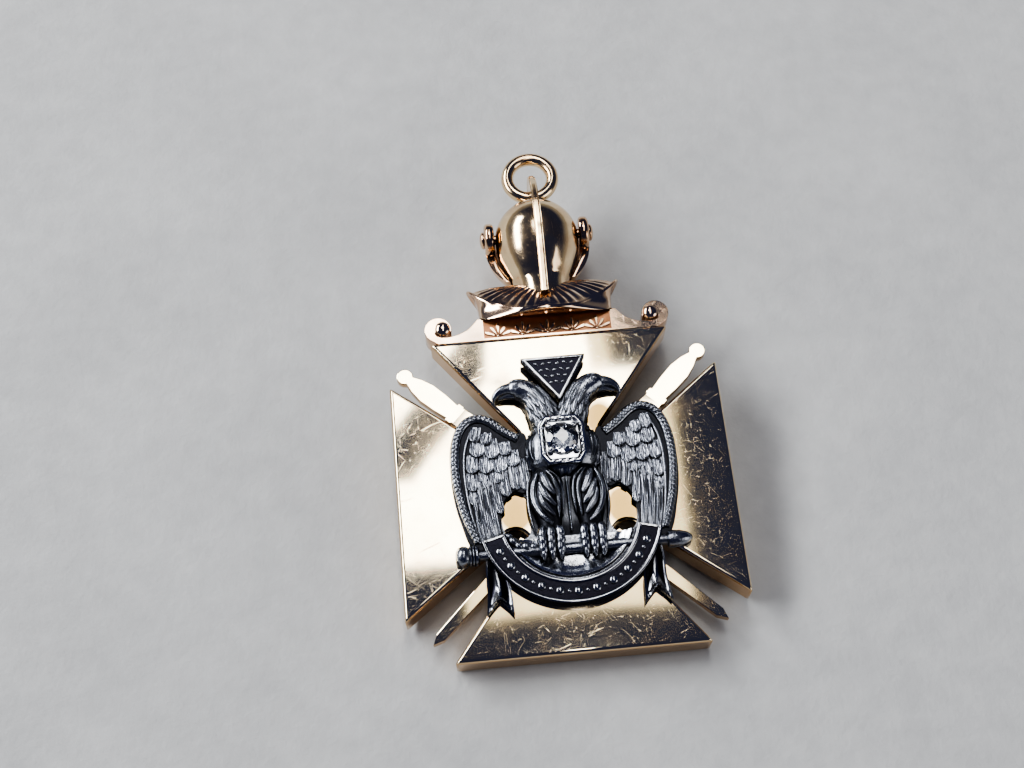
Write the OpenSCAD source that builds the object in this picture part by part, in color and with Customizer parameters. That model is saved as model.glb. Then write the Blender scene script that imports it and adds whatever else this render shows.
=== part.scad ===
// Gold fob pendant: a cross with four flared arms over two crossed swords, a dark relief of a
// double-headed eagle with a set stone, and a small helmet with a hinged visor carrying the ring.
// The pendant is drawn upright in its own plane: X across, Y up towards the ring, Z out of the front.
// Each piece is then laid on its back by lie(), where the visor and the foot of the cross carry it.

/* [Cross] */
// Reach of each arm from the centre of the cross
arm_reach = 15; // [13:0.5:17]
// Half the width of an arm's outer edge
arm_half = 11.07; // [10:0.01:11.5]
// Thickness of the cross
cross_t = 2.92; // [2.4:0.02:3.4]
// Radius of the rounded end of each notch between two arms
notch_r = 1.31; // [1:0.01:1.5]
// Distance of that rounded end's centre from the centre of the cross
notch_r_at = 7.0; // [6.5:0.1:7.5]

/* [Swords] */
// Angle of each sword's axis to the pendant's long axis
sword_angle = 46; // [44:0.5:47]
// Thickness of a sword
sword_t = 0.8; // [0.6:0.05:1]
// Distance of the pommel's centre from the crossing
pommel_at = 18.85; // [17.5:0.05:19]
// Radius of the pommel
pommel_r = 0.75; // [0.65:0.05:0.9]
// Distance of the blade's point from the crossing
blade_reach = 17.75; // [16:0.05:18]

/* [Helmet] */
// Radius of the skull piece
skull_r = 4; // [3.7:0.05:4.1]
// Height of the rivet axis above the centre of the cross
rivet_y = 26.2; // [26:0.1:26.4]
// Outer radius of the visor
visor_r = 5.05; // [4.95:0.05:5.2]
// Thickness of the comb over the skull
comb_t = 0.68; // [0.5:0.02:0.9]

/* [Ring] */
// Radius of the ring's centre line
ring_r = 2.2; // [2.1:0.05:2.4]
// Radius of the ring's wire
ring_wire_r = 0.6; // [0.45:0.05:0.62]

/* [Relief] */
// Radius of the round brilliant stone
stone_r = 1.45; // [1:0.05:1.6]
// Outer radius of the ribbon
ribbon_r = 8.1; // [7.8:0.05:8.2]
// Width of the ribbon's band
ribbon_w = 2.15; // [1.8:0.05:2.4]

/* [Hidden] */

gold = "gold";
rose_gold = "darkgoldenrod";
dark_silver = "slategray";
black_enamel = "darkslategray";
gap = 0.03;                       // seat gap between two pieces that rest on each other
front = cross_t / 2;              // the front face of the cross
far = 40;                         // a size past every edge

// The pendant lies on the visor's round front and on the lower back edge of the cross
visor_y = 25.4;
rest_span = visor_y + arm_reach;
tilt = asin(visor_r / norm([rest_span, front])) - atan2(front, rest_span);
lift = arm_reach * sin(tilt) + front * cos(tilt);
eye_y = 30.5;
ring_y = eye_y + ring_r;
y_top = (ring_y + ring_r) * cos(tilt) + ring_wire_r;
y_foot = -arm_reach * cos(tilt) - front * sin(tilt);

module lie() translate([0, -(y_top + y_foot) / 2, lift]) rotate([tilt, 0, 0]) children();

// A smooth closed curve through a few hand-set points, n steps from each point to the next
function spline_at(a, b, c, d, t) = 0.5 * (2 * b + (c - a) * t + (2 * a - 5 * b + 4 * c - d) * t * t
    + (3 * b - a - 3 * c + d) * t * t * t);
function closed_curve(p, n) = [for (i = [0:len(p) - 1], k = [0:n - 1])
    spline_at(p[(i + len(p) - 1) % len(p)], p[i], p[(i + 1) % len(p)], p[(i + 2) % len(p)], k / n)];
// The same for an open run, which starts and ends at its first and last point
function held(p, i) = p[max(0, min(len(p) - 1, i))];
function open_curve(p, n) = concat([for (i = [0:len(p) - 2], k = [0:n - 1])
    spline_at(held(p, i - 1), p[i], p[i + 1], held(p, i + 2), k / n)], [p[len(p) - 1]]);
function mirrored(p) = [for (i = [len(p) - 1:-1:0]) [-p[i][0], p[i][1]]];

module slab(outline, low, high) translate([0, 0, low]) linear_extrude(high - low) polygon(outline);
module both_sides() { children(); mirror([1, 0, 0]) children(); }
// Puts a shape drawn in a (z, y) plane across X, t thick about the pendant's middle
module across(t) rotate([0, -90, 0]) translate([0, 0, -t / 2]) linear_extrude(t) children();

// Cross: one arm is a trapezoid whose sides run from the outer corner to the notch's round end

notch_c = notch_r_at / sqrt(2);
// Where the straight side of an arm meets the round end of the notch
notch_slope = atan2(arm_reach - notch_c, arm_half - notch_c);
notch_far = norm([arm_half - notch_c, arm_reach - notch_c]);
notch_turn = notch_slope + acos(notch_r / notch_far);
function quarter(steps) = concat([[arm_half, arm_reach]],
    [for (k = [0:steps]) let (a = notch_turn + (450 - 2 * notch_turn) * k / steps)
        [notch_c, notch_c] + notch_r * [cos(a), sin(a)]],
    [[arm_reach, arm_half]]);
function turn_point(p, a) = [p[0] * cos(a) - p[1] * sin(a), p[0] * sin(a) + p[1] * cos(a)];
cross_outline = [for (q = [0:3], p = quarter(12)) turn_point(p, -90 * q)];

// Sword: half outline as [distance along the axis, half width], pommel end first
sword_half = [[18.2, 0.48], [17.4, 0.78], [16.2, 1.0], [14.6, 0.96], [13.25, 0.82], [13.2, 1.02],
    [12.6, 1.02], [12.55, 0.9], [11.2, 0.98]];
blade_end = [-blade_reach + 0.95, 0.58];
sword_cross_y = -0.6;
function sword_outline(extra) = concat([for (p = sword_half) [p[0], p[1] + extra]],
    [blade_end + [0, extra], [-blade_reach - extra, 0]],
    [blade_end * [[1, 0], [0, -1]] - [0, extra]],
    [for (i = [len(sword_half) - 1:-1:0]) [sword_half[i][0], -sword_half[i][1] - extra]]);

module sword_blank(extra, t) {
    translate([0, 0, -t / 2]) linear_extrude(t) polygon(sword_outline(extra));
    translate([pommel_at, 0, -t / 2]) cylinder(t, r = pommel_r + extra, $fn = 48);
}

// side 1 leans to the upper right, side -1 to the upper left
module on_sword(side) translate([0, sword_cross_y, 0]) rotate([0, 0, 90 - side * sword_angle]) children();

module cross() color(gold) lie() difference() {
    slab(cross_outline, -front, front);
    for (side = [-1, 1]) on_sword(side) sword_blank(gap, sword_t + 2 * gap);
}

// The two blades are halved into each other where they cross
module sword(side) color(gold) lie() difference() {
    on_sword(side) sword_blank(0, sword_t);
    on_sword(-side) translate([0, 0, side * (sword_t / 2 - gap / 2)])
        cube([6, 2.2, sword_t], center = true);
}
module sword_left() sword(-1);
module sword_right() sword(1);

// Scroll plate on the top edge of the cross, with a round volute at each end

crest_t = 2.4;
crest_foot = arm_reach + gap;
crest_top = 17.3;
volute_x = 10.15;
volute_y = 16.52;
volute_r = 1.25;
crest_side = [[0, crest_foot], [10.2, crest_foot], [11.1, 15.6], [10.9, 16.1], [9.0, 15.9], [8.2, 16.0],
    [7.35, 16.35], [6.75, 16.95], [6.45, crest_top], [0, crest_top]];
module crest_half() {
    polygon(crest_side);
    translate([volute_x, volute_y]) circle(volute_r, $fn = 64);
}
// A chiselled flower: leaf-shaped cuts fanned about one point
module flower_cuts() for (a = [-62:31:62]) rotate(a)
    polygon([[0, 0.12], [0.15, 0.6], [0, 1.25], [-0.15, 0.6]]);
flower_depth = 0.16;
module crest_plate() color(rose_gold) lie() difference() {
    translate([0, 0, -crest_t / 2]) linear_extrude(crest_t) {
        crest_half();
        mirror([1, 0]) crest_half();
    }
    translate([0, 0, crest_t / 2 - flower_depth]) linear_extrude(1) for (i = [-2:2])
        translate([i * 2.25, crest_foot + 0.35]) flower_cuts();
    both_sides() translate([volute_x + 0.1, volute_y, crest_t / 2 - 0.25]) difference() {
        cylinder(1, r = 0.75, $fn = 32);
        translate([0, 0, -1]) cylinder(3, r = 0.5, $fn = 32);
    }
}

// Gorget: rings of points run from its foot out to the lobed rim, up over the fan-cut top and down
// into the seat of the helmet's neck

gorget_steps = 96;
neck_r = 2.62;
neck_foot = 18.33;
function toward_side(a, power) = pow(abs(cos(a)), power);
// The rim is a boat with a pointed lobe at each side and a round lobe front and back
function rim_x(a) = 7.15 * cos(a);
function rim_z(a) = (3.35 + 0.45 * pow(abs(sin(a)), 6)) * sin(a) * (1 - 0.42 * pow(abs(cos(a)), 1.4));
function rim_y(a) = 16.75 + 3.95 * toward_side(a, 2.6);
function foot_x(a) = 6.2 * (abs(cos(a)) > 0.19 ? sign(cos(a)) : cos(a) / 0.19);
function foot_z(a) = 1.27 * (abs(cos(a)) > 0.19 ? sin(a) / sin(acos(0.19)) : sign(sin(a)));
function seat_y(a) = 18.75 + 2.05 * toward_side(a, 1.3);
function flute(a, depth) = depth * (cos(a * 24) > 0 ? 1 : 0);
function mix(a, b, t) = a + (b - a) * t;
gorget_foot = crest_top + gap;
function gorget_ring(k) = [for (i = [0:gorget_steps - 1]) let (a = (i + 0.5) * 360 / gorget_steps,
    rim = [rim_x(a), rim_y(a), rim_z(a)], foot = [foot_x(a), gorget_foot, foot_z(a)],
    seat = [(neck_r + gap) * cos(a), seat_y(a), (neck_r + gap) * sin(a)])
    k == 0 ? foot
    : k == 1 ? [mix(foot[0], rim[0], 0.12), mix(foot[1], rim[1], 0.34) , mix(foot[2], rim[2], 0.12)]
    : k == 2 ? [mix(foot[0], rim[0], 0.42), mix(foot[1], rim[1], 0.7) - 0.1, mix(foot[2], rim[2], 0.42)]
    : k == 3 ? rim - [0, 0.18, 0]
    : k == 4 ? rim + [0, 0.17, 0]
    : k == 5 ? mix(rim, seat, 0.12) + [0, 0.2, 0]
    : k == 6 ? mix(rim, seat, 0.55) + [0, 0.12 - flute(a, 0.1), 0]
    : k == 7 ? seat
    : [seat[0], neck_foot - gap, seat[2]]];
gorget_rings = 9;
// Triangles between each ring and the next, and a fan to a middle point at each end
function loft_faces(rings, n) = let (first = rings * n, last = first + 1) concat(
    [for (i = [0:n - 1]) [first, (i + 1) % n, i]],
    [for (k = [0:rings - 2], i = [0:n - 1]) let (j = (i + 1) % n)
        each [[k * n + j, (k + 1) * n + j, (k + 1) * n + i], [k * n + j, (k + 1) * n + i, k * n + i]]],
    [for (i = [0:n - 1]) [last, (rings - 1) * n + i, (rings - 1) * n + (i + 1) % n]]);
module gorget() color(rose_gold) lie() polyhedron(
    concat([for (k = [0:gorget_rings - 1], p = gorget_ring(k)) p],
        [[0, gorget_foot, 0], [0, neck_foot - gap, 0]]),
    loft_faces(gorget_rings, gorget_steps), convexity = 6);

// Helmet: a turned skull piece with a neck, and a comb whose eye holds the ring

skull_y = 29.8 - skull_r;
skull_low = [[skull_r, skull_y], [3.93, 24.9], [3.7, 23.7], [3.2, 22.4], [2.72, 21.4], [2.5, 20.6],
    [neck_r, neck_foot]];
skull_profile = concat([for (k = [0:11]) [skull_r * sin(k * 7.5), skull_y + skull_r * cos(k * 7.5)]],
    open_curve(skull_low, 3), [[0, neck_foot]]);
eye_r = 0.75;
rivet_r = 0.45;
// Comb from above: its back ridge runs from the crown down to the gorget, then back up the skull
comb_outer = [[-1.55, 30.2], [-1.45, 31.2], [-0.6, 32.2], [0.7, 32.35], [2.2, 31.7], [3.7, 30.2],
    [4.85, 28.1], [5.2, 25.9], [4.85, 23.6], [4.25, 21.4], [3.65, 19.6], [3.35, 18.7]];
comb_inner = [[2.3, 19.1], [2.0, 21], [2.5, 23], [3, 26], [1.5, 28.5], [-1, 28.9]];
module comb() across(comb_t) difference() {
    polygon(concat(open_curve(comb_outer, 4), comb_inner));
    translate([0, eye_y]) circle(eye_r, $fn = 32);
}
// Stands a turned shape, whose height is drawn along Z, up along Y
module upright() rotate([90, 0, 0]) mirror([0, 0, 1]) children();
module helmet_turned() upright() rotate_extrude($fn = 96) polygon(skull_profile);
module along_x(r, from, to) translate([from, rivet_y, 0]) rotate([0, 90, 0])
    cylinder(to - from, r = r, $fn = 48);
face_depth = 0.55;
module helmet() color(gold) lie() difference() {
    union() {
        helmet_turned();
        comb();
    }
    both_sides() along_x(rivet_r + gap, 2.4, far);
    translate([-2.1, 22.6, -far]) cube([4.2, 4.2, far - skull_r + face_depth]);
}

// Visor: a round shell over the face side with two ears on the rivets. It turns about the rivets.

visor_top = 16;
visor_low_y = 21.6;
ear_r = 1.6;
sight_y = 26.5;
// The hollow follows the skull piece, as [radius, height] from the brow down to the chin
visor_hollow = [[4.35, 28], [4.38, 26.5], [4.36, 25.2], [4.12, 23.7], [3.66, 22.6], [3.02, 21.5]];
module visor_shell() difference() {
    translate([0, visor_y, 0]) sphere(visor_r, $fn = 96);
    upright() rotate_extrude($fn = 96) polygon(concat([[0, visor_hollow[0][1]]],
        open_curve(visor_hollow, 3), [[0, visor_hollow[5][1]]]));
}
module visor_side_view() {
    polygon([[0, rivet_y], [-far * cos(visor_top), rivet_y + far * sin(visor_top)],
        [-far, visor_low_y], [0, visor_low_y]]);
    translate([0, rivet_y]) circle(ear_r, $fn = 64);
}
module visor() color(gold) lie() difference() {
    intersection() {
        visor_shell();
        across(far) visor_side_view();
    }
    along_x(rivet_r + 2 * gap, -far, far);
    both_sides() translate([0.45, sight_y, -far]) cube([2.5, 0.45, far]);
    both_sides() for (i = [0:3]) translate([1.15 + 0.62 * i, 22.9 + 0.22 * i, -far])
        cube([0.26, 1.5, far - 1]);
}

// Rivets: a shank in the skull piece and a domed head over the visor's ear, turned about their axis
rivet_head_r = 0.82;
rivet_head_t = 0.42;
rivet_seat = visor_r + gap / 2;
rivet_foot = 2.5;
rivet_profile = concat([[0, rivet_foot], [rivet_r, rivet_foot], [rivet_r, rivet_seat]],
    [for (a = [0:15:90]) [rivet_head_r * cos(a), rivet_seat + 0.1 + (rivet_head_t - 0.1) * sin(a)]]);
module rivet() translate([0, rivet_y, 0]) rotate([0, 90, 0]) rotate_extrude($fn = 48)
    polygon(concat([for (i = [0:2]) rivet_profile[i]], [[rivet_head_r, rivet_seat]],
        [for (i = [3:len(rivet_profile) - 1]) rivet_profile[i]]));
module rivet_right() color(gold) lie() rivet();
module rivet_left() color(gold) lie() mirror([1, 0, 0]) rivet();

module ring() color(gold) lie() translate([0, ring_y, 0]) rotate_extrude($fn = 96)
    translate([ring_r, 0]) circle(ring_wire_r, $fn = 32);

// Relief: everything on the front face stands on relief_back

relief_back = front + gap;
relief_top = 2.25;
wing_side = [[3.1, 4.9], [4.25, 5.3], [5.7, 6.7], [7.1, 7.35], [8.4, 7.1], [9.35, 6.1], [9.95, 4.3],
    [10.1, 2.1], [9.95, -0.4], [9.5, -2.6], [8.75, -4.9], [7.2, -5.9], [5.5, -5.4], [5.95, -4.1],
    [6.0, -2.7], [5.6, -1.2], [4.7, -0.3], [3.7, -0.5], [3.2, 1]];
wing_rope = [[4.0, 4.95], [5.6, 6.2], [7.1, 6.85], [8.3, 6.6], [9.0, 5.6], [9.45, 3.9], [9.6, 2.1],
    [9.45, -0.4], [9.0, -2.6], [8.3, -4.6]];
body_side = [[0, 6.7], [1.9, 6.5], [2.85, 5.75], [3.6, 4.2], [3.65, 2.6], [3.4, 0.9], [3.5, -0.8],
    [3.35, -2.4], [3.2, -4.4], [0, -4.6]];
module pearl(p, r) translate(p) sphere(r, $fn = 6);
module strand(points, radii) for (i = [0:len(points) - 2]) hull() {
    pearl(points[i], radii[i]);
    pearl(points[i + 1], radii[i + 1]);
}
step_in = 0.05;                   // each feather is this much lower than the one that laps over it
// A feather lies along +X from its root, with a raised shaft down its middle
module feather(root, angle, length, width, height) translate(root) rotate([0, 0, angle]) hull() {
    linear_extrude(height * 0.35) polygon([[0, -0.38 * width], [0.6 * length, -0.5 * width],
        [0.9 * length, -0.33 * width], [length, 0], [0.9 * length, 0.33 * width],
        [0.6 * length, 0.5 * width], [0, 0.38 * width]]);
    linear_extrude(height) polygon([[0, -0.05 * width], [0.9 * length, 0], [0, 0.05 * width]]);
}
// Rows of short feathers over the upper wing: [row's inner x, y, outer x, y, feathers, length, width]
scale_rows = [[4.2, 4.4, 8.2, 5.6, 5, 1.7, 1.0], [4.0, 3.1, 8.6, 4.3, 6, 1.7, 1.0],
    [3.9, 1.8, 8.8, 2.9, 6, 1.7, 1.0]];
module wing() {
    slab(closed_curve(wing_side, 3), relief_back, relief_top);
    for (r = [0:len(scale_rows) - 1], i = [0:scale_rows[r][4] - 1])
        let (row = scale_rows[r], t = i / (row[4] - 1))
        feather([mix(row[0], row[2], t), mix(row[1], row[3], t), relief_top + step_in * (2 - r - 0.4 * i)],
            mix(-98, -82, t), row[5], row[6], 0.3);
    for (i = [0:6]) let (t = i / 6)
        feather([mix(4.1, 8.7, t), mix(1.2, 1.8, t), relief_top - step_in * (2.7 + 0.4 * i)],
            mix(-84, -92, t), mix(1.6, 6.4, min(1, t * 1.6)), 0.86, 0.3);
    for (p = open_curve(wing_rope, 3)) pearl([p[0], p[1], relief_top + 0.12], 0.5);
}
module head() {
    strand([[1.4, 5.45, 1.95], [1.75, 7.2, 2.1], [2.3, 8.6, 2.2], [3.25, 9.4, 2.25]], [1.55, 1.3, 1.15, 1.1]);
    strand([[4.2, 9.4, 2.3], [5.15, 9.15, 2.2], [5.6, 8.5, 2.1]], [0.62, 0.48, 0.18]);
    pearl([3.65, 9.95, 2.9], 0.5);
    for (i = [0:3]) feather([1.35 + 0.42 * i, 8.1 - 0.25 * i, 2.85 - step_in * i], -103 + 8 * i,
        2.0, 0.5, 0.35);
}
module thigh() {
    strand([[1.8, 0.2, 2.2], [1.9, -1.6, 2.25], [1.9, -3.3, 2.2]], [1.5, 1.35, 0.8]);
    for (i = [0:3]) feather([0.9 + 0.65 * i, 0.3, 3.14 - step_in * i], -97 + 7 * i, 3.2, 0.6, 0.4);
    feather([3.2, 0.6, 2.25], -92, 4.4, 0.6, 0.5);
}
toe_x = [1.0, 1.75, 2.5, 3.1];
module foot() for (x = toe_x) strand([[x * 0.5 + 1, -4.2, 2.75], [x, -5.5, 3.0], [x, -6.45, 2.6]],
    [0.5, 0.36, 0.28]);

setting_y = 3.65;
setting_x_half = 2.05;
setting_y_half = 2.3;
setting_back = 2.9;
setting_top = 3.75;
module setting_outline(extra) polygon(closed_curve([for (c = [[1, 0.62], [0.7, 1], [-0.7, 1],
    [-1, 0.62], [-1, -0.62], [-0.7, -1], [0.7, -1], [1, -0.62]])
    [c[0] * (setting_x_half + extra), setting_y + c[1] * (setting_y_half + extra)]], 3));

dagger_y = -5.9;
dagger_z = 2.1;
dagger_r = 0.52;
grip_end_x = 8.08;
module dagger_channel() translate([-far, dagger_y, dagger_z]) rotate([0, 90, 0])
    cylinder(2 * far, r = dagger_r + gap, $fn = 32);

triangle_corners = [[-2.95, 12.1], [2.95, 12.1], [0.25, 7.75]];
triangle_c = [0.08, 10.65];       // the point that lies as far from each of its edges
triangle_room = 1.03;             // its seat is this much larger than it
triangle_back = 2.3;
triangle_top = 2.95;
ribbon_y = -2.9;
ribbon_in = ribbon_r - ribbon_w;
ribbon_mid = ribbon_r - ribbon_w / 2;
ribbon_top = 2.75;
ribbon_ends = -14;
web_top = 1.8;

module eagle() color(dark_silver) lie() difference() {
    intersection() {
        union() {
            both_sides() { wing(); head(); thigh(); foot(); }
            slab(closed_curve(concat(body_side, mirrored([for (i = [1:8]) body_side[i]])), 2),
                relief_back, relief_top + 0.2);
            translate([0, 3.4, 1.6]) scale([1, 1, 0.55]) sphere(3.55, $fn = 16);
            hull() both_sides() pearl([0.8, 6.6, 2.2], 0.9);
            hull() { pearl([0, 0.2, 2.9], 0.35); pearl([0, -4.4, 2.6], 0.3); }
            translate([0, ribbon_y, relief_back]) cylinder(web_top - relief_back,
                r = ribbon_mid, $fn = 48);
        }
        translate([-far, -far, relief_back]) cube(2 * far);
    }
    // The openings beside the legs
    both_sides() slab(closed_curve([[3.55, -1.0], [4.6, -0.25], [5.6, -1.2], [5.95, -2.8],
        [5.6, -4.3], [4.6, -4.7], [3.65, -4.3], [3.45, -2.6]], 3), 0, far);
    slab([for (p = triangle_corners) triangle_c + (p - triangle_c) * triangle_room],
        triangle_back - gap, far);
    translate([0, 0, setting_back - gap]) linear_extrude(far) setting_outline(gap);
    dagger_channel();
    // Room for the dagger's thicker ends
    both_sides() translate([grip_end_x, dagger_y, dagger_z]) rotate([0, 90, 0])
        cylinder(4, r = 1.02, $fn = 32);
    translate([0, 0, relief_back - 1]) linear_extrude(far) ribbon_flat(gap);
}

// Triangular plaque with a raised rim
module triangle() color(black_enamel) lie() difference() {
    slab(triangle_corners, triangle_back, triangle_top);
    slab([for (p = triangle_corners) triangle_c + (p - triangle_c) * 0.76], triangle_top - 0.15, far);
}

// Ribbon: an arc of band with a raised border, and a forked tail hanging from each end
tail = [[6.9, -5.7], [7.7, -6.3], [7.75, -8.8], [7.95, -11.2], [6.75, -9.95], [5.6, -11.4],
    [5.6, -9.6], [5.9, -8.0]];
module band(inner, outer, ends) intersection() {
    difference() {
        circle(outer, $fn = 96);
        circle(inner, $fn = 96);
    }
    polygon([[0, 0], [far * cos(ends), far * sin(ends)], [far, -far], [-far, -far],
        [-far * cos(ends), far * sin(ends)]]);
}
module ribbon_flat(extra) {
    translate([0, ribbon_y]) band(ribbon_in - extra, ribbon_r + extra, ribbon_ends + extra * 8);
    for (p = [tail, mirrored(tail)]) polygon(p);
}
module ribbon() color(black_enamel) lie() difference() {
    union() {
        translate([0, ribbon_y, relief_back]) linear_extrude(ribbon_top - relief_back)
            band(ribbon_in, ribbon_r, ribbon_ends);
        both_sides() slab(tail, relief_back, ribbon_top - 0.5);
    }
    difference() {
        translate([0, ribbon_y, ribbon_top - 0.2]) linear_extrude(1)
            band(ribbon_in + 0.3, ribbon_r - 0.3, ribbon_ends - 4);
        // Round studs stand in the field in place of an inscription
        for (a = [-155:13:-25]) translate([ribbon_mid * cos(a), ribbon_y + ribbon_mid * sin(a), 0])
            cylinder(ribbon_top - 0.05, r = 0.3, $fn = 16);
    }
    dagger_channel();
}

// Dagger under the feet: a round grip end at the left, a rounded point at the right
dagger_profile = [[-10.4, 0.5], [-10.2, 0.82], [-9.7, 0.96], [-9.2, 0.88], [-8.9, 0.72], [-8.75, 0.82],
    [-8.5, 0.7], [-8.3, 0.8], [-8.15, dagger_r], [8.15, dagger_r], [8.3, 0.78], [9.5, 0.66],
    [10.2, 0.4], [10.5, 0]];
module dagger() color(dark_silver) lie() intersection() {
    translate([0, dagger_y, dagger_z]) rotate([0, 90, 0]) rotate_extrude($fn = 32)
        polygon(concat([[0, -10.4]], [for (p = dagger_profile) [p[1], p[0]]]));
    translate([-far, -far, relief_back]) cube(2 * far);
}

// Setting: a bright-cut plate with a seat for the stone and a row of grains at each side
stone_y = setting_y + 0.1;
stone_girdle_z = 3.85;
module stone_setting() color(dark_silver) lie() difference() {
    union() {
        translate([0, 0, setting_back]) linear_extrude(setting_top - setting_back) setting_outline(0);
        for (a = [45:90:315]) translate([stone_r * cos(a), stone_y + stone_r * sin(a), setting_top - 0.2])
            cylinder(0.5, r = 0.3, $fn = 24);
    }
    translate([0, stone_y, setting_back + 0.05]) cylinder(far, r = stone_r + gap, $fn = 48);
}

// Round brilliant: table, crown facets, girdle and pavilion
module facet_ring(r, z, t, turn, n) translate([0, 0, z]) rotate([0, 0, turn]) linear_extrude(t)
    circle(r, $fn = n);
module diamond() color("aliceblue") lie() translate([0, stone_y, stone_girdle_z]) hull() {
    facet_ring(stone_r * 0.56, 0.36, 0.02, 22.5, 8);
    facet_ring(stone_r * 0.83, 0.2, 0.01, 0, 8);
    facet_ring(stone_r, -0.04, 0.05, 11.25, 16);
    facet_ring(stone_r * 0.12, -0.86, 0.02, 22.5, 8);
}

cross();
sword_left();
sword_right();
crest_plate();
gorget();
helmet();
visor();
rivet_left();
rivet_right();
ring();
eagle();
triangle();
ribbon();
dagger();
stone_setting();
diamond();
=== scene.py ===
"""A gold fob pendant with a cast eagle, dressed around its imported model.

Every piece is drawn upright in millimetres, with X across, Y up towards the ring and Z out of the front.
Lie.matrix then lays its mesh on its back, in metres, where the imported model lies.
"""

import logging
import math
from collections.abc import Callable, Iterable, Mapping, Sequence
from dataclasses import dataclass, field
from enum import Enum

import bmesh
import bpy
from bmesh.types import BMesh, BMEdge, BMFace, BMVert
from bpy.types import Material, Node, NodeSocket, NodeTree, Object
from mathutils import Matrix, Vector


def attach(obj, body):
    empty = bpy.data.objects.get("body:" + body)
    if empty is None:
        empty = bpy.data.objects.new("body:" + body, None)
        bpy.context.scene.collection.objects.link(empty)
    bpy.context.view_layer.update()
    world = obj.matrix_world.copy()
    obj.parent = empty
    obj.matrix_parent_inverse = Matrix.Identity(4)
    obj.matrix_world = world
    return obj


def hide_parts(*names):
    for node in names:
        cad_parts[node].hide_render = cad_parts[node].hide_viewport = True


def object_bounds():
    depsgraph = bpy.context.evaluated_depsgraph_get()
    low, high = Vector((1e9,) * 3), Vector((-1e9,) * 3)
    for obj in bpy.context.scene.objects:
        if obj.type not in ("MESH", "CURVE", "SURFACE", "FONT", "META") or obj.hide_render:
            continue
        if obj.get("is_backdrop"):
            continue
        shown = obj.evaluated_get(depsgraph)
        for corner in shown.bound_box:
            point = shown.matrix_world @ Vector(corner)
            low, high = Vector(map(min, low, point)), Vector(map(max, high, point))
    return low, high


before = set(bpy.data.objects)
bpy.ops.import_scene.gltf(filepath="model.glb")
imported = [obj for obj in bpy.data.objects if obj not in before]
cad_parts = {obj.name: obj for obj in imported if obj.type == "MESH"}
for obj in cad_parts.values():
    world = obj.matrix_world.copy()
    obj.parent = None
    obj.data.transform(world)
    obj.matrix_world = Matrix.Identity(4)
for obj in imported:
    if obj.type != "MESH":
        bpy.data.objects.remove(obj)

Pair = tuple[float, float]
Triple = tuple[float, float, float]
Pairs = tuple[Pair, ...]
Rows = tuple[tuple[float, ...], ...]
Points = Sequence[Sequence[float]]
MM = 0.001
SEAT_GAP = 0.03
FAR = 40.0

log = logging.getLogger("pendant")


@dataclass(frozen=True)
class Lie:
    """How the pendant lies: on the visor's round front and on the lower back edge of the cross."""

    arm_reach: float = 15.0
    front: float = 1.46
    visor_y: float = 25.4
    visor_r: float = 5.05
    ring_y: float = 32.7
    ring_r: float = 2.2
    wire_r: float = 0.6

    @property
    def tilt(self) -> float:
        """The angle between the pendant's plane and the floor, in radians."""
        span = self.visor_y + self.arm_reach
        return math.asin(self.visor_r / math.hypot(span, self.front)) - math.atan2(self.front, span)

    @property
    def place(self) -> Vector:
        """Where the centre of the cross lies, in millimetres."""
        lift = self.arm_reach * math.sin(self.tilt) + self.front * math.cos(self.tilt)
        top = (self.ring_y + self.ring_r) * math.cos(self.tilt) + self.wire_r
        foot = -self.arm_reach * math.cos(self.tilt) - self.front * math.sin(self.tilt)
        return Vector((0.0, -(top + foot) / 2, lift))

    @property
    def matrix(self) -> Matrix:
        """The transform from the pendant's own millimetres to the model's metres."""
        turned = Matrix.Rotation(self.tilt, 4, "X")
        return Matrix.Scale(MM, 4) @ Matrix.Translation(self.place) @ turned


LIE = Lie()
FRONT = LIE.front


class Body(Enum):
    """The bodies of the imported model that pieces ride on."""

    ROOT = "root"
    VISOR = "visor"


class Slot(Enum):
    """The record's material slots."""

    POLISHED_GOLD = "polished_gold"
    ROSE_GOLD = "rose_gold"
    DARK_SILVER = "dark_silver"
    BLACK_SILVER = "black_silver"
    BRIGHT_SILVER = "bright_silver"
    STONE = "stone"


class Axis(Enum):
    """The axis that a turned shape is turned about."""

    X = (1.0, 0.0, 0.0)
    Y = (0.0, 1.0, 0.0)
    Z = (0.0, 0.0, 1.0)


class Cut(Enum):
    """What a solid does to another."""

    REMOVE = "DIFFERENCE"
    JOIN = "UNION"
    KEEP = "INTERSECT"


def mix(a: float, b: float, t: float) -> float:
    """The value a share t of the way from a to b."""
    return a + (b - a) * t


def spline_at(a: Sequence[float], b: Sequence[float], c: Sequence[float], d: Sequence[float],
              t: float) -> tuple[float, ...]:
    """One point of a smooth curve between b and c.

    Args:
        a: The point before b.
        b: The point that the stretch starts from.
        c: The point that it ends at.
        d: The point after c.
        t: The share of the way from b to c.

    Returns:
        The point, with as many values as the others have.
    """
    return tuple(0.5 * (2 * q + (r - p) * t + (2 * p - 5 * q + 4 * r - s) * t * t
                        + (3 * q - p - 3 * r + s) * t ** 3) for p, q, r, s in zip(a, b, c, d))


def closed_curve(points: Points, steps: int) -> list[tuple[float, ...]]:
    """A smooth closed curve through given points.

    Args:
        points: The points, in order.
        steps: How many steps lead from each point to the next.

    Returns:
        The curve's points, without the first one repeated.
    """
    n = len(points)
    return [spline_at(points[i - 1], points[i], points[(i + 1) % n], points[(i + 2) % n], k / steps)
            for i in range(n) for k in range(steps)]


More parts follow.
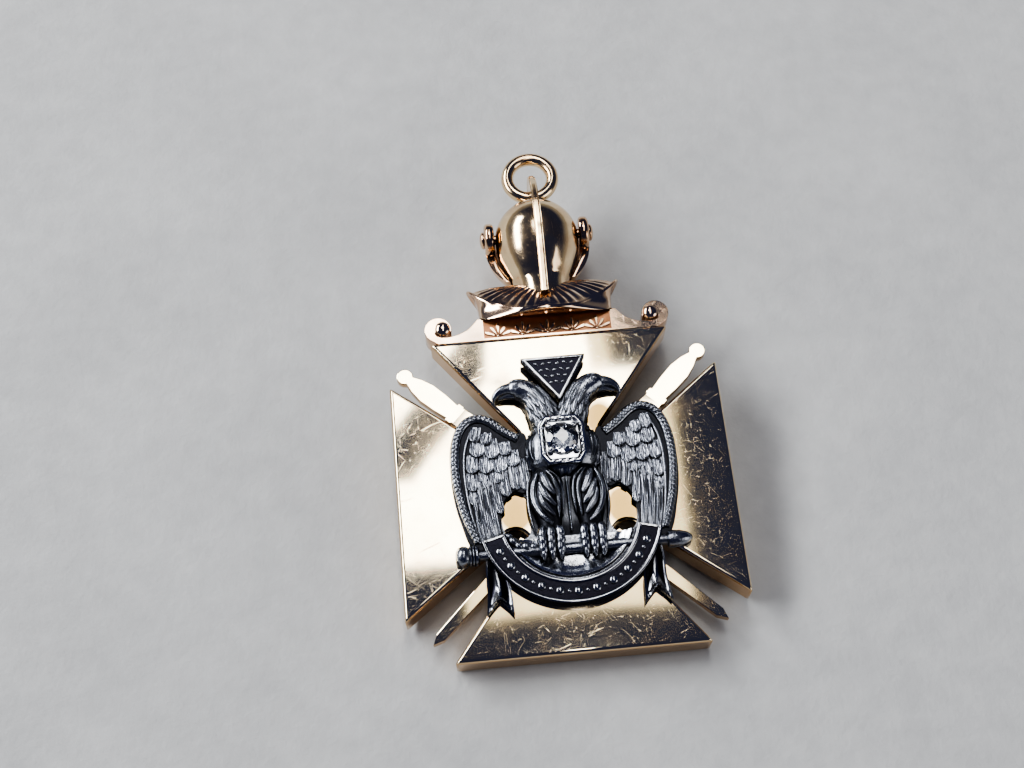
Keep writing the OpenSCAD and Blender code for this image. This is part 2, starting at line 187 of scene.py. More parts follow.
def open_curve(points: Points, steps: int) -> list[tuple[float, ...]]:
    """A smooth open curve through given points, which starts and ends at the outer two.

    Args:
        points: The points, in order.
        steps: How many steps lead from each point to the next.

    Returns:
        The curve's points.
    """
    last = len(points) - 1
    curve = [spline_at(points[max(0, i - 1)], points[i], points[i + 1], points[min(last, i + 2)], k / steps)
             for i in range(last) for k in range(steps)]
    return curve + [tuple(points[last])]


def along(points: Points, t: float) -> Vector:
    """The point a share t along a run of points, by its length.

    Args:
        points: The run.
        t: The share, from 0 to 1.

    Returns:
        The point.
    """
    runs = [math.dist(p, q) for p, q in zip(points, points[1:])]
    left = min(max(t, 0.0), 1.0) * sum(runs)
    for p, q, run in zip(points, points[1:], runs):
        if left <= run:
            return Vector(p).lerp(Vector(q), left / run if run else 0.0)
        left -= run
    return Vector(points[-1])


UP = Vector((0, 0, 1))


def heading(points: Points, t: float, step: float) -> Vector:
    """Which way a run of points leads a share t along it, taken over a step to each side."""
    return along(points, min(1.0, t + step)) - along(points, max(0.0, t - step))


def mirrored(points: Points) -> list[tuple[float, ...]]:
    """The same outline on the other side of the middle, in the order that keeps its direction."""
    return [(-p[0], *p[1:]) for p in reversed(points)]


def polar(centre: Pair, radius: float, turn: float) -> Pair:
    """The point at a distance and at an angle in degrees from a centre."""
    a = math.radians(turn)
    return centre[0] + radius * math.cos(a), centre[1] + radius * math.sin(a)


def arc(centre: Pair, radius: float, start: float, end: float, steps: int) -> list[Pair]:
    """Points on an arc.

    Args:
        centre: Its centre.
        radius: Its radius.
        start: The angle of its first point, in degrees.
        end: The angle of its last point, in degrees.
        steps: How many steps it has.

    Returns:
        steps + 1 points.
    """
    return [polar(centre, radius, mix(start, end, k / steps)) for k in range(steps + 1)]


def outward(bm: BMesh) -> BMesh:
    """Points every face of a closed mesh outwards, after its doubles are merged."""
    bmesh.ops.remove_doubles(bm, verts=bm.verts[:], dist=1e-5)
    bmesh.ops.recalc_face_normals(bm, faces=bm.faces[:])
    return bm


def close_holes(bm: BMesh) -> None:
    """Closes every open end of a mesh with a flat face."""
    bmesh.ops.holes_fill(bm, edges=[e for e in bm.edges if e.is_boundary], sides=0)


def round_edges(bm: BMesh, edges: Iterable[BMEdge], width: float, steps: int = 3) -> BMesh:
    """Rounds edges over.

    Args:
        bm: The mesh.
        edges: The edges to round.
        width: How far the rounding reaches from an edge.
        steps: How many facets it has.

    Returns:
        The same mesh.
    """
    bmesh.ops.bevel(bm, geom=list(edges), offset=width, offset_type="OFFSET", profile_type="SUPERELLIPSE",
                    affect="EDGES", segments=steps, profile=0.5, clamp_overlap=True, material=-1)
    return bm


def sharp_edges(bm: BMesh, least: float = 40.0) -> list[BMEdge]:
    """The edges whose faces meet at least as sharply as an angle in degrees."""
    limit = math.radians(least)
    return [e for e in bm.edges if len(e.link_faces) == 2 and e.calc_face_angle(0.0) > limit]


def slab(outline: Points, low: float, high: float, edge: float = 0.0, steps: int = 3) -> BMesh:
    """A flat plate with rounded edges.

    Args:
        outline: Its outline.
        low: The height of its back.
        high: The height of its front.
        edge: How far its edges are rounded.
        steps: How many facets the rounding has.

    Returns:
        The plate, as a closed mesh.
    """
    bm = bmesh.new()
    face = bm.faces.new([bm.verts.new((p[0], p[1], low)) for p in outline])
    grown = bmesh.ops.extrude_face_region(bm, geom=[face])["geom"]
    bmesh.ops.translate(bm, verts=[g for g in grown if isinstance(g, BMVert)], vec=(0, 0, high - low))
    outward(bm)
    if edge:
        round_edges(bm, sharp_edges(bm, 25.0), edge, steps)
    return bm


def front_faces(bm: BMesh, height: float) -> list[BMFace]:
    """The faces that lie flat at a height and look out of the front."""
    return [f for f in bm.faces if f.normal.z > 0.99 and abs(f.calc_center_median().z - height) < 1e-3]


def inset(bm: BMesh, faces: list[BMFace], width: float, depth: float) -> None:
    """Draws faces in together by a width, and sinks them."""
    bmesh.ops.inset_region(bm, faces=faces, thickness=width, depth=-depth, use_even_offset=True,
                           use_boundary=True)


def sink_field(bm: BMesh, height: float, rim: float, depth: float) -> None:
    """Sinks the front of a plate inside a rim.

    Args:
        bm: The plate.
        height: The height of its front.
        rim: The rim's width.
        depth: How far the field is sunk.
    """
    field_faces = front_faces(bm, height)
    inset(bm, field_faces, rim, 0.0)
    inset(bm, field_faces, depth * 0.4, depth)


def lathe(profile: Points, axis: Axis, centre: Sequence[float] = (0.0, 0.0, 0.0),
          steps: int = 96) -> BMesh:
    """A turned shape.

    Args:
        profile: Its half section, as (radius, place along the axis), from one end to the other.
        axis: The axis that it is turned about.
        centre: A point on that axis.
        steps: How many steps the full turn has.

    Returns:
        The turned shape. It is closed where the profile starts and ends on the axis.
    """
    bm = bmesh.new()
    at = {Axis.X: (1, 0, 2), Axis.Y: (0, 1, 2), Axis.Z: (0, 2, 1)}[axis]
    verts = [bm.verts.new(Vector([(r, h, 0.0)[i] for i in at]) + Vector(centre)) for r, h in profile]
    edges = [bm.edges.new(pair) for pair in zip(verts, verts[1:])]
    bmesh.ops.spin(bm, geom=verts + edges, cent=centre, axis=axis.value, angle=math.tau, steps=steps,
                   use_merge=True)
    return outward(bm)


def torus(radius: float, wire: float, axis: Axis, centre: Sequence[float], steps: int = 96) -> BMesh:
    """A ring of round wire, turned about an axis through its centre."""
    section = [(radius + wire * math.cos(a), wire * math.sin(a)) for a in
               (math.tau * k / 24 for k in range(25))]
    return lathe(section, axis, centre, steps)


def loft(rings: Sequence[Points], capped: bool = True) -> BMesh:
    """A skin over rings that each have the same number of points.

    Args:
        rings: The rings, from one end to the other.
        capped: Whether its two ends are closed.

    Returns:
        The skin.
    """
    bm = bmesh.new()
    before: list[BMEdge] = []
    for ring in rings:
        verts = bmesh.ops.create_circle(bm, cap_ends=False, radius=1.0, segments=len(ring))["verts"]
        for vert, point in zip(verts, ring):
            vert.co = point
        edges = list({e for v in verts for e in v.link_edges if e.other_vert(v) in set(verts)})
        if before:
            bmesh.ops.bridge_loops(bm, edges=before + edges)
        before = edges
    if capped:
        close_holes(bm)
    return outward(bm)


def bead(centre: Sequence[float], size: Sequence[float], turn: float = 0.0, detail: int = 8) -> BMesh:
    """A squashed ball.

    Args:
        centre: Its centre.
        size: Its half length, half width and half height.
        turn: The angle of its length to the X axis, in degrees.
        detail: How many sides it has.

    Returns:
        The ball.
    """
    bm = bmesh.new()
    placed = Matrix.Translation(centre) @ Matrix.Rotation(math.radians(turn), 4, "Z")
    bmesh.ops.create_uvsphere(bm, u_segments=detail, v_segments=max(4, detail // 2 + 1), radius=1.0,
                              matrix=placed @ Matrix.Diagonal((*size, 1.0)))
    return bm


def block(centre: Sequence[float], size: Sequence[float]) -> BMesh:
    """A plain box, from its centre and its full sizes."""
    bm = bmesh.new()
    bmesh.ops.create_cube(bm, size=1.0, matrix=Matrix.Translation(centre) @ Matrix.Diagonal((*size, 1.0)))
    return bm


def add(into: BMesh, *others: BMesh) -> BMesh:
    """Adds whole meshes to another and frees them.

    Args:
        into: The mesh that grows.
        others: The meshes that go into it.

    Returns:
        The grown mesh.
    """
    for other in others:
        mesh = bpy.data.meshes.new("passing")
        other.to_mesh(mesh)
        other.free()
        into.from_mesh(mesh)
        bpy.data.meshes.remove(mesh)
    return into


def flipped(bm: BMesh) -> BMesh:
    """Mirrors a mesh across the pendant's middle and keeps its faces pointing outwards."""
    bmesh.ops.scale(bm, verts=bm.verts[:], vec=(-1, 1, 1))
    bmesh.ops.reverse_faces(bm, faces=bm.faces[:])
    return bm


def cut(bm: BMesh, tool: BMesh, what: Cut) -> BMesh:
    """Cuts a closed mesh with another, or joins them.

    Args:
        bm: The mesh that is worked on, which is freed.
        tool: The mesh that cuts it, which is freed.
        what: What the tool does.

    Returns:
        A new mesh.
    """
    bmesh.ops.triangulate(tool, faces=tool.faces[:])
    objects = []
    for part in (bm, tool):
        mesh = bpy.data.meshes.new("passing")
        part.to_mesh(mesh)
        part.free()
        objects.append(bpy.data.objects.new("passing", mesh))
        bpy.context.scene.collection.objects.link(objects[-1])
    worked, cutter = objects
    modifier = worked.modifiers.new("cut", "BOOLEAN")
    modifier.operation = what.value
    modifier.solver = "EXACT"
    modifier.object = cutter
    bpy.context.view_layer.update()
    result = bmesh.new()
    result.from_mesh(worked.evaluated_get(bpy.context.evaluated_depsgraph_get()).data)
    for o in objects:
        mesh = o.data
        bpy.data.objects.remove(o)
        bpy.data.meshes.remove(mesh)
    return result


def pressed(bm: BMesh, low: float) -> BMesh:
    """Presses the points of a mesh that lie below a height up to it."""
    for vert in bm.verts:
        vert.co.z = max(vert.co.z, low)
    return bm


def sheet(place: Callable[[float, float], Triple], rows: int, columns: int, back: float) -> BMesh:
    """A curved plate over a flat back.

    Args:
        place: Gives a point of its front for a share of its length and a place from -1 to 1 across it.
        rows: How many points it has along its length.
        columns: How many points it has across.
        back: The height of its back.

    Returns:
        The closed plate.
    """
    bm = bmesh.new()
    bmesh.ops.create_grid(bm, x_segments=rows, y_segments=columns, size=1.0)
    for vert in bm.verts:
        vert.co = place((vert.co.x + 1) / 2, vert.co.y)
    walls = bmesh.ops.extrude_edge_only(bm, edges=[e for e in bm.edges if e.is_boundary])["geom"]
    for vert in (g for g in walls if isinstance(g, BMVert)):
        vert.co.z = back
    close_holes(bm)
    bmesh.ops.recalc_face_normals(bm, faces=bm.faces[:])
    return bm


BARBS = "barbs"


@dataclass(frozen=True)
class Quill:
    """How a feather is modelled across its width, in millimetres."""

    crown: float = 0.1
    depth: float = 0.4
    shaft: float = 0.0
    ridges: float = 3.0
    groove: float = 0.03
    piping: float = 0.04
    rows: int = 14
    columns: int = 25

    def rise(self, u: float, v: float) -> float:
        """How far a point stands over its spine.

        Args:
            u: Its share of the length.
            v: Its place across, from -1 to 1.

        Returns:
            The height.
        """
        fade = min(1.0, 6 * u)
        edge = max(0.0, (max(abs(v), u) - 0.86) / 0.14)
        lines = self.groove * math.cos(math.tau * self.ridges * abs(v) + 1.5 * u) * fade * (1 - edge)
        shaft = self.shaft * math.exp(-((v / 0.12) ** 2))
        return self.crown * (1 - v * v) + shaft + lines + self.piping * edge


LONG = Quill(shaft=0.07, ridges=2.0, groove=0.035, piping=0.0, columns=21)
SCALE = Quill(crown=0.07, ridges=3.5, groove=0.028, piping=0.06)
NECK = Quill(ridges=1.5, columns=15, rows=10)
CHEST = Quill(ridges=1.5, groove=0.025, rows=8, columns=13)
POD = Quill(crown=0.02, shaft=0.05, ridges=2.0, groove=0.05, piping=0.14, rows=20)
STRIPE = Quill(crown=0.2, depth=0.6, ridges=1.0, groove=0.035, piping=0.0, rows=24, columns=15)


def leaf(spine: Points, widths: Callable[[float], float], quill: Quill) -> BMesh:
    """A feather over a curved spine, with side walls down to its bed.

    Args:
        spine: Points of its middle line, from root to tip.
        widths: Gives its half width for a share of its length.
        quill: How it is modelled across its width.

    Returns:
        A closed feather. Its BARBS map gives each point's place along and across it, in millimetres.
    """
    bm = bmesh.new()
    curve = open_curve(spine, 6)
    length = sum(math.dist(p, q) for p, q in zip(curve, curve[1:]))
    bmesh.ops.create_grid(bm, x_segments=quill.rows, y_segments=quill.columns, size=1.0)
    barbs = bm.loops.layers.uv.new(BARBS)
    places: dict[BMVert, Pair] = {}
    for vert in bm.verts:
        u, v = (vert.co.x + 1) / 2, vert.co.y
        side = UP.cross(heading(curve, u, 0.02)).normalized()
        half = widths(u)
        places[vert] = (u * length, v * half)
        vert.co = along(curve, u) + side * half * v + Vector((0, 0, quill.rise(u, v)))
    for face in bm.faces:
        for loop in face.loops:
            loop[barbs].uv = places[loop.vert]
    rim = [e for e in bm.edges if e.is_boundary]
    walls = bmesh.ops.extrude_edge_only(bm, edges=rim)["geom"]
    bmesh.ops.translate(bm, verts=[g for g in walls if isinstance(g, BMVert)], vec=(0, 0, -quill.depth))
    close_holes(bm)
    bmesh.ops.recalc_face_normals(bm, faces=bm.faces[:])
    return bm


def scale_width(half: float, length: float) -> Callable[[float], float]:
    """Half widths of a short feather with a round tip."""
    start = 1 - half / length
    return lambda u: half * (mix(0.82, 1.0, u / start) if u < start else
                             math.sqrt(max(0.004, 1 - ((u - start) / (1 - start)) ** 2)))


def lance_width(half: float, root: float = 0.7, point: float = 0.72) -> Callable[[float], float]:
    """Half widths of a long feather that narrows to a rounded point."""
    return lambda u: half * (mix(root, 1.0, u / point) if u < point else
                             max(0.08, 1 - ((u - point) / (1 - point)) ** 2.2))


def pod_width(u: float) -> float:
    """The half width of the pod-shaped feathers, for a share of their length."""
    return 0.08 + 0.42 * math.sin(math.pi * u) ** 0.7


def stripe_width(half: float) -> Callable[[float], float]:
    """Half widths of a bold feather that is widest in its middle."""
    return lambda u: half * (0.25 + 0.95 * math.sin(math.pi * min(0.97, 0.1 + 0.85 * u)) ** 0.8)


def strand(points: Points, sides: int = 20, steps: int = 4) -> BMesh:
    """A smooth round form over a curved middle line.

    Args:
        points: Rows of (x, y, z, half width, half height), from one end to the other.
        sides: How many sides it has.
        steps: How many steps lead from each row to the next.

    Returns:
        A closed form.
    """
    curve = open_curve(points, steps)
    rings = []
    for i, row in enumerate(curve):
        here, ahead = Vector(row[:3]), Vector(curve[min(i + 1, len(curve) - 1)][:3])
        back = Vector(curve[max(0, i - 1)][:3])
        run = (ahead - back).normalized()
        side = UP.cross(run)
        side = side.normalized() if side.length > 1e-4 else Vector((1, 0, 0))
        up = run.cross(side)
        rings.append([tuple(here + side * row[3] * math.cos(a) + up * row[4] * math.sin(a))
                      for a in (math.tau * k / sides for k in range(sides))])
    return loft(rings)


Value = float | Sequence[float] | NodeSocket


class Graph:
    """A node tree that is being built."""

    def __init__(self, tree: NodeTree) -> None:
        """Starts from a tree.

        Args:
            tree: The tree that nodes are added to.
        """
        self.tree = tree

    def node(self, kind: str, inputs: Mapping[str | int, Value] | None = None, **settings: object) -> Node:
        """Adds a node.

        Args:
            kind: Its type, without the word ShaderNode.
            inputs: What its input sockets are set to or linked from.
            settings: Its other properties.

        Returns:
            The node.
        """
        made = self.tree.nodes.new("ShaderNode" + kind)
        for name, value in settings.items():
            setattr(made, name, value)
        for name, value in (inputs or {}).items():
            self.put(made.inputs[name], value)
        return made

    def put(self, socket: NodeSocket, value: Value) -> None:
        """Links a socket, or sets its value."""
        if isinstance(value, NodeSocket):
            self.tree.links.new(value, socket)
        else:
            socket.default_value = value

    def math(self, operation: str, a: Value, b: Value = 0.0, clamp: bool = False) -> NodeSocket:
        """The result of a Math node."""
        return self.node("Math", {0: a, 1: b}, operation=operation, use_clamp=clamp).outputs[0]

    def ranged(self, value: Value, low: Value, high: Value, to_low: Value = 0.0,
               to_high: Value = 1.0) -> NodeSocket:
        """A value carried from one range to another and held within it."""
        inputs = {"Value": value, "From Min": low, "From Max": high, "To Min": to_low, "To Max": to_high}
        return self.node("MapRange", inputs).outputs["Result"]

    def blend(self, share: Value, a: Value, b: Value) -> NodeSocket:
        """A colour a share of the way from a to b."""
        made = self.node("Mix", data_type="RGBA")
        self.put(made.inputs[0], share)
        self.put(made.inputs[6], a)
        self.put(made.inputs[7], b)
        return made.outputs[2]

    def noise(self, at: Value, scale: Value, detail: float = 2.0, distortion: float = 0.0) -> NodeSocket:
        """The grey value of a Noise texture."""
        inputs = {"Vector": at, "Scale": scale, "Detail": detail, "Distortion": distortion}
        return self.node("TexNoise", inputs).outputs["Fac"]

    def open_sky(self, reach: float) -> NodeSocket:
        """How open a point is to what lies within a reach in millimetres."""
        return self.node("AmbientOcclusion", {"Distance": reach * MM}, samples=6).outputs["AO"]

    def bump(self, height: Value, distance: float, under: Value | None = None) -> NodeSocket:
        """A bumped normal over another, with its depth in metres."""
        made = self.node("Bump", {"Height": height, "Distance": distance})
        if under is not None:
            self.put(made.inputs["Normal"], under)
        return made.outputs["Normal"]


class Effect:
    """A shader node group that more than one finish uses."""

    name = ""
    inputs: dict[str, str] = {}
    outputs: dict[str, str] = {}

    def fill(self, graph: Graph, given: Mapping[str, NodeSocket]) -> dict[str, NodeSocket]:
        """Builds what lies between the group's inputs and outputs.

        Args:
            graph: The group's tree.
            given: The group's inputs by name.

        Returns:
            What goes to each output, by name.
        """
        raise NotImplementedError

    def tree(self) -> NodeTree:
        """The group's tree, which is built once."""
        found = bpy.data.node_groups.get(self.name)
        if found:
            return found
        tree = bpy.data.node_groups.new(self.name, "ShaderNodeTree")
        for direction, sockets in (("INPUT", self.inputs), ("OUTPUT", self.outputs)):
            for name, kind in sockets.items():
                tree.interface.new_socket(name, in_out=direction, socket_type="NodeSocket" + kind)
        given, result = tree.nodes.new("NodeGroupInput"), tree.nodes.new("NodeGroupOutput")
        graph = Graph(tree)
        for name, value in self.fill(graph, given.outputs).items():
            graph.put(result.inputs[name], value)
        return tree

    def place(self, graph: Graph, **values: Value) -> Node:
        """Puts the group in a material.

        Args:
            graph: The material's tree.
            values: What its inputs are set to, with an underscore for each space.

        Returns:
            The group's node.
        """
        made = graph.node("Group", node_tree=self.tree())
        for name, value in values.items():
            graph.put(made.inputs[name.replace("_", " ")], value)
        return made


class PendantPlace(Effect):
    """Where a point lies on the upright pendant, in millimetres."""

    name = "pendant place"
    outputs = {"Place": "Vector", "Height": "Float"}

    def fill(self, graph: Graph, given: Mapping[str, NodeSocket]) -> dict[str, NodeSocket]:
        """Undoes the way the pendant lies."""
        at = graph.node("TexCoord").outputs["Object"]
        turned = graph.node("Mapping", {"Vector": at, "Location": LIE.place * MM, "Scale": (MM, MM, MM),
                                        "Rotation": (LIE.tilt, 0.0, 0.0)}, vector_type="TEXTURE")
        parts = graph.node("SeparateXYZ", {0: turned.outputs[0]})
        return {"Place": turned.outputs[0], "Height": parts.outputs["Z"]}


class Scratches(Effect):
    """Fine scratches that cross each other, as a watch chain and its keys leave them."""

    name = "fine scratches"
    inputs = {"Place": "Vector", "Scale": "Float", "Width": "Float", "Share": "Float"}
    outputs = {"Mask": "Float"}
    turns = (0.35, 0.95, 1.6, 2.25, 2.8)
    stretch = 8.0

    def fill(self, graph: Graph, given: Mapping[str, NodeSocket]) -> dict[str, NodeSocket]:
        """Draws the level lines of stretched noise at several angles, and breaks them up."""
        scale = given["Scale"]
        found: NodeSocket | None = None
        for i, turn in enumerate(self.turns):
            turned = {"Vector": given["Place"], "Location": (3.7 * i, 1.9 * i, 5.3 * i),
                      "Rotation": (0.0, 0.0, turn), "Scale": (self.stretch, 1.0, 1.0)}
            lined = graph.node("Mapping", turned, vector_type="TEXTURE").outputs[0]
            grey = graph.noise(lined, scale, 0.0)
            off = graph.math("ABSOLUTE", graph.math("SUBTRACT", grey, 0.5))
            line = graph.ranged(off, 0.0, given["Width"], 1.0, 0.0)
            broken = graph.noise(lined, graph.math("MULTIPLY", scale, 2.7), 0.0)
            kept = graph.ranged(broken, given["Share"], 0.75)
            strong = graph.math("MINIMUM", graph.math("MULTIPLY", kept, 4.0), 1.0)
            line = graph.math("MULTIPLY", line, strong)
            found = line if found is None else graph.math("MAXIMUM", found, line)
        return {"Mask": found}


class Handling(Effect):
    """Cloudy patches where fingers and cloths have dulled the polish."""

    name = "handling"
    inputs = {"Place": "Vector", "Scale": "Float"}
    outputs = {"Patches": "Float"}

    def fill(self, graph: Graph, given: Mapping[str, NodeSocket]) -> dict[str, NodeSocket]:
        """Sharpens a large noise."""
        grey = graph.noise(given["Place"], given["Scale"], detail=5.0, distortion=0.6)
        return {"Patches": graph.ranged(grey, 0.42, 0.68)}


class PaintedPocketShade(Effect):
    """A soft-edged oval of painted shade, for a pocket that the light barely reaches."""

    name = "painted_pocket_shade"
    inputs = {"Place": "Vector", "Centre": "Vector", "Reach": "Vector"}
    outputs = {"Mask": "Float"}

    def fill(self, graph: Graph, given: Mapping[str, NodeSocket]) -> dict[str, NodeSocket]:
        """An oval with a soft edge."""
        away = graph.node("VectorMath", {0: given["Place"], 1: given["Centre"]}, operation="SUBTRACT")
        shared = graph.node("VectorMath", {0: away.outputs[0], 1: given["Reach"]}, operation="DIVIDE")
        far = graph.node("VectorMath", {0: shared.outputs[0]}, operation="LENGTH").outputs["Value"]
        return {"Mask": graph.ranged(far, 0.7, 1.15, 1.0, 0.0)}


class Waves(Effect):
    """The slow waves of a hand-polished face."""

    name = "hand polish waves"
    inputs = {"Place": "Vector", "Scale": "Float"}
    outputs = {"Height": "Float"}

    def fill(self, graph: Graph, given: Mapping[str, NodeSocket]) -> dict[str, NodeSocket]:
        """A large soft noise."""
        return {"Height": graph.noise(given["Place"], given["Scale"], detail=0.0)}


class CastGrain(Effect):
    """The fine pits and grains of a cast surface."""

    name = "cast grain"
    inputs = {"Place": "Vector", "Scale": "Float"}
    outputs = {"Height": "Float"}

    def fill(self, graph: Graph, given: Mapping[str, NodeSocket]) -> dict[str, NodeSocket]:
        """Mixes noise with the cells of a Voronoi texture."""
        grey = graph.noise(given["Place"], given["Scale"], detail=3.0)
        cells = graph.node("TexVoronoi", {"Vector": given["Place"], "Scale": given["Scale"]})
        return {"Height": graph.math("ADD", grey, cells.outputs["Distance"])}


class BarbLines(Effect):
    """The barbs cut along each feather, read from its own map."""

    name = "barb lines"
    inputs = {"Across": "Float", "Slant": "Float"}
    outputs = {"Height": "Float"}

    def fill(self, graph: Graph, given: Mapping[str, NodeSocket]) -> dict[str, NodeSocket]:
        """Waves that run outwards from the shaft."""
        parts = graph.node("SeparateXYZ", {0: graph.node("UVMap", uv_map=BARBS).outputs[0]})
        off_shaft = graph.math("ABSOLUTE", parts.outputs["Y"])
        rise = graph.math("MULTIPLY", parts.outputs["X"], given["Slant"])
        run = graph.math("ADD", graph.math("MULTIPLY", off_shaft, given["Across"]), rise)
        return {"Height": graph.math("SINE", graph.math("MULTIPLY", run, math.tau))}


class Finish:
    """A finish that a piece takes."""

    name = "finish"
    slot = Slot.POLISHED_GOLD

    def dress(self, graph: Graph, shader: Node) -> None:
        """Adds this finish's nodes before its shader."""
        raise NotImplementedError

    def material(self) -> Material:
        """The finish's material, which is built once."""
        found = bpy.data.materials.get(self.name)
        if found:
            return found
        made = bpy.data.materials.new(self.name)
        made.use_nodes = True
        made.node_tree.nodes.clear()
        graph = Graph(made.node_tree)
        shader = graph.node("BsdfPrincipled")
        graph.node("OutputMaterial", {"Surface": shader.outputs[0]})
        self.dress(graph, shader)
        return made


def tinted(colour: Triple, tint: Triple) -> tuple[float, float, float, float]:
    """A colour multiplied by another, as a shader takes it."""
    return (*(c * t for c, t in zip(colour, tint)), 1)


@dataclass(frozen=True)
class Gold(Finish):
    """Polished gold with slow waves, patches of handling and fine scratches, and painted shade in its
    hollows, on its side walls and in listed pockets.
    """

    name: str = "polished gold"
    slot: Slot = Slot.POLISHED_GOLD
    colour: Triple = (0.95, 0.82, 0.57)
    worn: Triple = (0.91, 0.73, 0.48)
    polish: float = 0.045
    dull: float = 0.06
    scratch_scale: float = 2.4
    scratch_width: float = 0.012
    scratch_share: float = 0.62
    scratch_rough: float = 0.11
    wave_scale: float = 0.09
    wave_depth: float = 0.3e-4
    patch_scale: float = 0.35
    # Painted shade: the colour darkens where ambient occlusion within this reach finds a point shut in, by
    # up to shade
    shade_reach: float = 1.2
    shade: float = 0.35
    # Painted shade on side walls: how far surfaces that face sideways in the room turn darker and browner
    wall: float = 0.85
    painted_pocket_shade: Triple = (0.18, 0.118, 0.042)
    # Pockets of painted shade, where the light barely reaches: x, y, half width, half height
    pockets: Rows = ()
    # The painted shade in hollows darkens towards the worn colour times this tint
    painted_shade_tint: Triple = (0.45, 0.36, 0.3)
    # The side walls' painted shade goes towards the worn colour times this tint
    wall_shade_tint: Triple = (0.58, 0.43, 0.3)

    def dress(self, graph: Graph, shader: Node) -> None:
        """Colour and roughness follow the patches, scratches roughen it, and waves bend the normal. The
        colour also carries painted shade: darker where ambient occlusion finds a point shut in, darker and
        browner on side walls by their facing, and darker in the pockets.
        """
        at = PendantPlace().place(graph).outputs["Place"]
        patches = Handling().place(graph, Place=at, Scale=self.patch_scale).outputs["Patches"]
        marks = Scratches().place(graph, Place=at, Scale=self.scratch_scale, Width=self.scratch_width,
                                  Share=self.scratch_share).outputs["Mask"]
        waves = Waves().place(graph, Place=at, Scale=self.wave_scale)
        open_sky = graph.open_sky(self.shade_reach)
        plain = graph.blend(patches, (*self.colour, 1), (*self.worn, 1))
        # Painted shade in hollows, from ambient occlusion
        painted_hollow_shade = graph.ranged(open_sky, 0.1, 0.75, self.shade, 0.0)
        # Painted shade: side walls, found by how little their normal points up, turn darker and browner
        facing = graph.node("SeparateXYZ", {0: graph.node("NewGeometry").outputs["Normal"]}).outputs["Z"]
        wall = graph.ranged(graph.math("ABSOLUTE", facing), 0.35, 0.75, self.wall, 0.0)
        shaded_colour = graph.blend(wall, plain, tinted(self.worn, self.wall_shade_tint))
        # Painted shade in each pocket
        for x, y, half_wide, half_high in self.pockets:
            mask = PaintedPocketShade().place(graph, Place=at, Centre=(x, y, 0.0), Reach=(half_wide, half_high, FAR))
            shaded_colour = graph.blend(mask.outputs["Mask"], shaded_colour, (*self.painted_pocket_shade, 1))
        # The colour of the painted shade in hollows
        deep = tinted(self.worn, self.painted_shade_tint)
        graph.put(shader.inputs["Base Color"], graph.blend(painted_hollow_shade, shaded_colour, deep))
        shader.inputs["Metallic"].default_value = 1.0
        dulled = graph.ranged(patches, 0.0, 1.0, self.polish, self.dull)
        scratched = graph.math("MULTIPLY", marks, self.scratch_rough)
        graph.put(shader.inputs["Roughness"], graph.math("ADD", dulled, scratched))
        graph.put(shader.inputs["Normal"], graph.bump(waves.outputs["Height"], self.wave_depth))


RECESS = "recess"
RECESS_FADE = 0.08


@dataclass(frozen=True)
class Oxidised(Finish):
    """Cast white metal, blackened in its hollows and rubbed bright on its high points."""

    name: str = "oxidised silver"
    slot: Slot = Slot.DARK_SILVER
    bright: Triple = (0.52, 0.55, 0.62)
    dark: Triple = (0.024, 0.025, 0.03)
    shade_reach: float = 0.7
    polish: float = 0.15
    dull: float = 0.42
    grain_scale: float = 5.0
    grain_depth: float = 1.2e-5
    barb_depth: float = 0.8e-5
    barbs_across: float = 3.4
    barb_slant: float = 0.25
    barb_shade: float = 0.55
    patch_scale: float = 0.9
    bright_share: float = 0.74

    def dress(self, graph: Graph, shader: Node) -> None:
        """Hollows are found by how shut in a point is and by the feathers' own recess."""
        at = PendantPlace().place(graph).outputs["Place"]
        grain = CastGrain().place(graph, Place=at, Scale=self.grain_scale).outputs["Height"]
        patches = Handling().place(graph, Place=at, Scale=self.patch_scale).outputs["Patches"]
        barbs = BarbLines().place(graph, Across=self.barbs_across, Slant=self.barb_slant).outputs["Height"]
        open_sky = graph.open_sky(self.shade_reach)
        recess = graph.node("Attribute", attribute_name=RECESS).outputs["Fac"]
        shown = graph.math("SUBTRACT", graph.ranged(open_sky, 0.35, 0.95), recess, clamp=True)
        cut_in = graph.ranged(barbs, -1.0, 0.4, self.barb_shade, 1.0)
        handled = graph.ranged(patches, 0.0, 1.0, self.bright_share, self.bright_share * 0.6)
        rubbed = graph.math("MULTIPLY", graph.math("MULTIPLY", shown, cut_in), handled)
        graph.put(shader.inputs["Base Color"], graph.blend(rubbed, (*self.dark, 1), (*self.bright, 1)))
        shader.inputs["Metallic"].default_value = 1.0
        graph.put(shader.inputs["Roughness"], graph.ranged(rubbed, 0.0, 0.8, self.dull, self.polish))
        grained = graph.bump(grain, self.grain_depth)
        graph.put(shader.inputs["Normal"], graph.bump(barbs, self.barb_depth, grained))


@dataclass(frozen=True)
class Brilliant(Finish):
    """A clear, cut stone."""

    name: str = "clear stone"
    slot: Slot = Slot.STONE
    index: float = 2.0
    tone: Triple = (0.97, 0.985, 1.0)
    patch_scale: float = 1.2
    cloud: float = 0.04

    def dress(self, graph: Graph, shader: Node) -> None:
        """Clear glass with a high index and a faint cloud of wear on its facets."""
        at = PendantPlace().place(graph).outputs["Place"]
        patches = Handling().place(graph, Place=at, Scale=self.patch_scale).outputs["Patches"]
        shader.inputs["Base Color"].default_value = (*self.tone, 1.0)
        shader.inputs["Transmission Weight"].default_value = 1.0
        shader.inputs["IOR"].default_value = self.index
        graph.put(shader.inputs["Roughness"], graph.ranged(patches, 0.0, 1.0, 0.0, self.cloud))


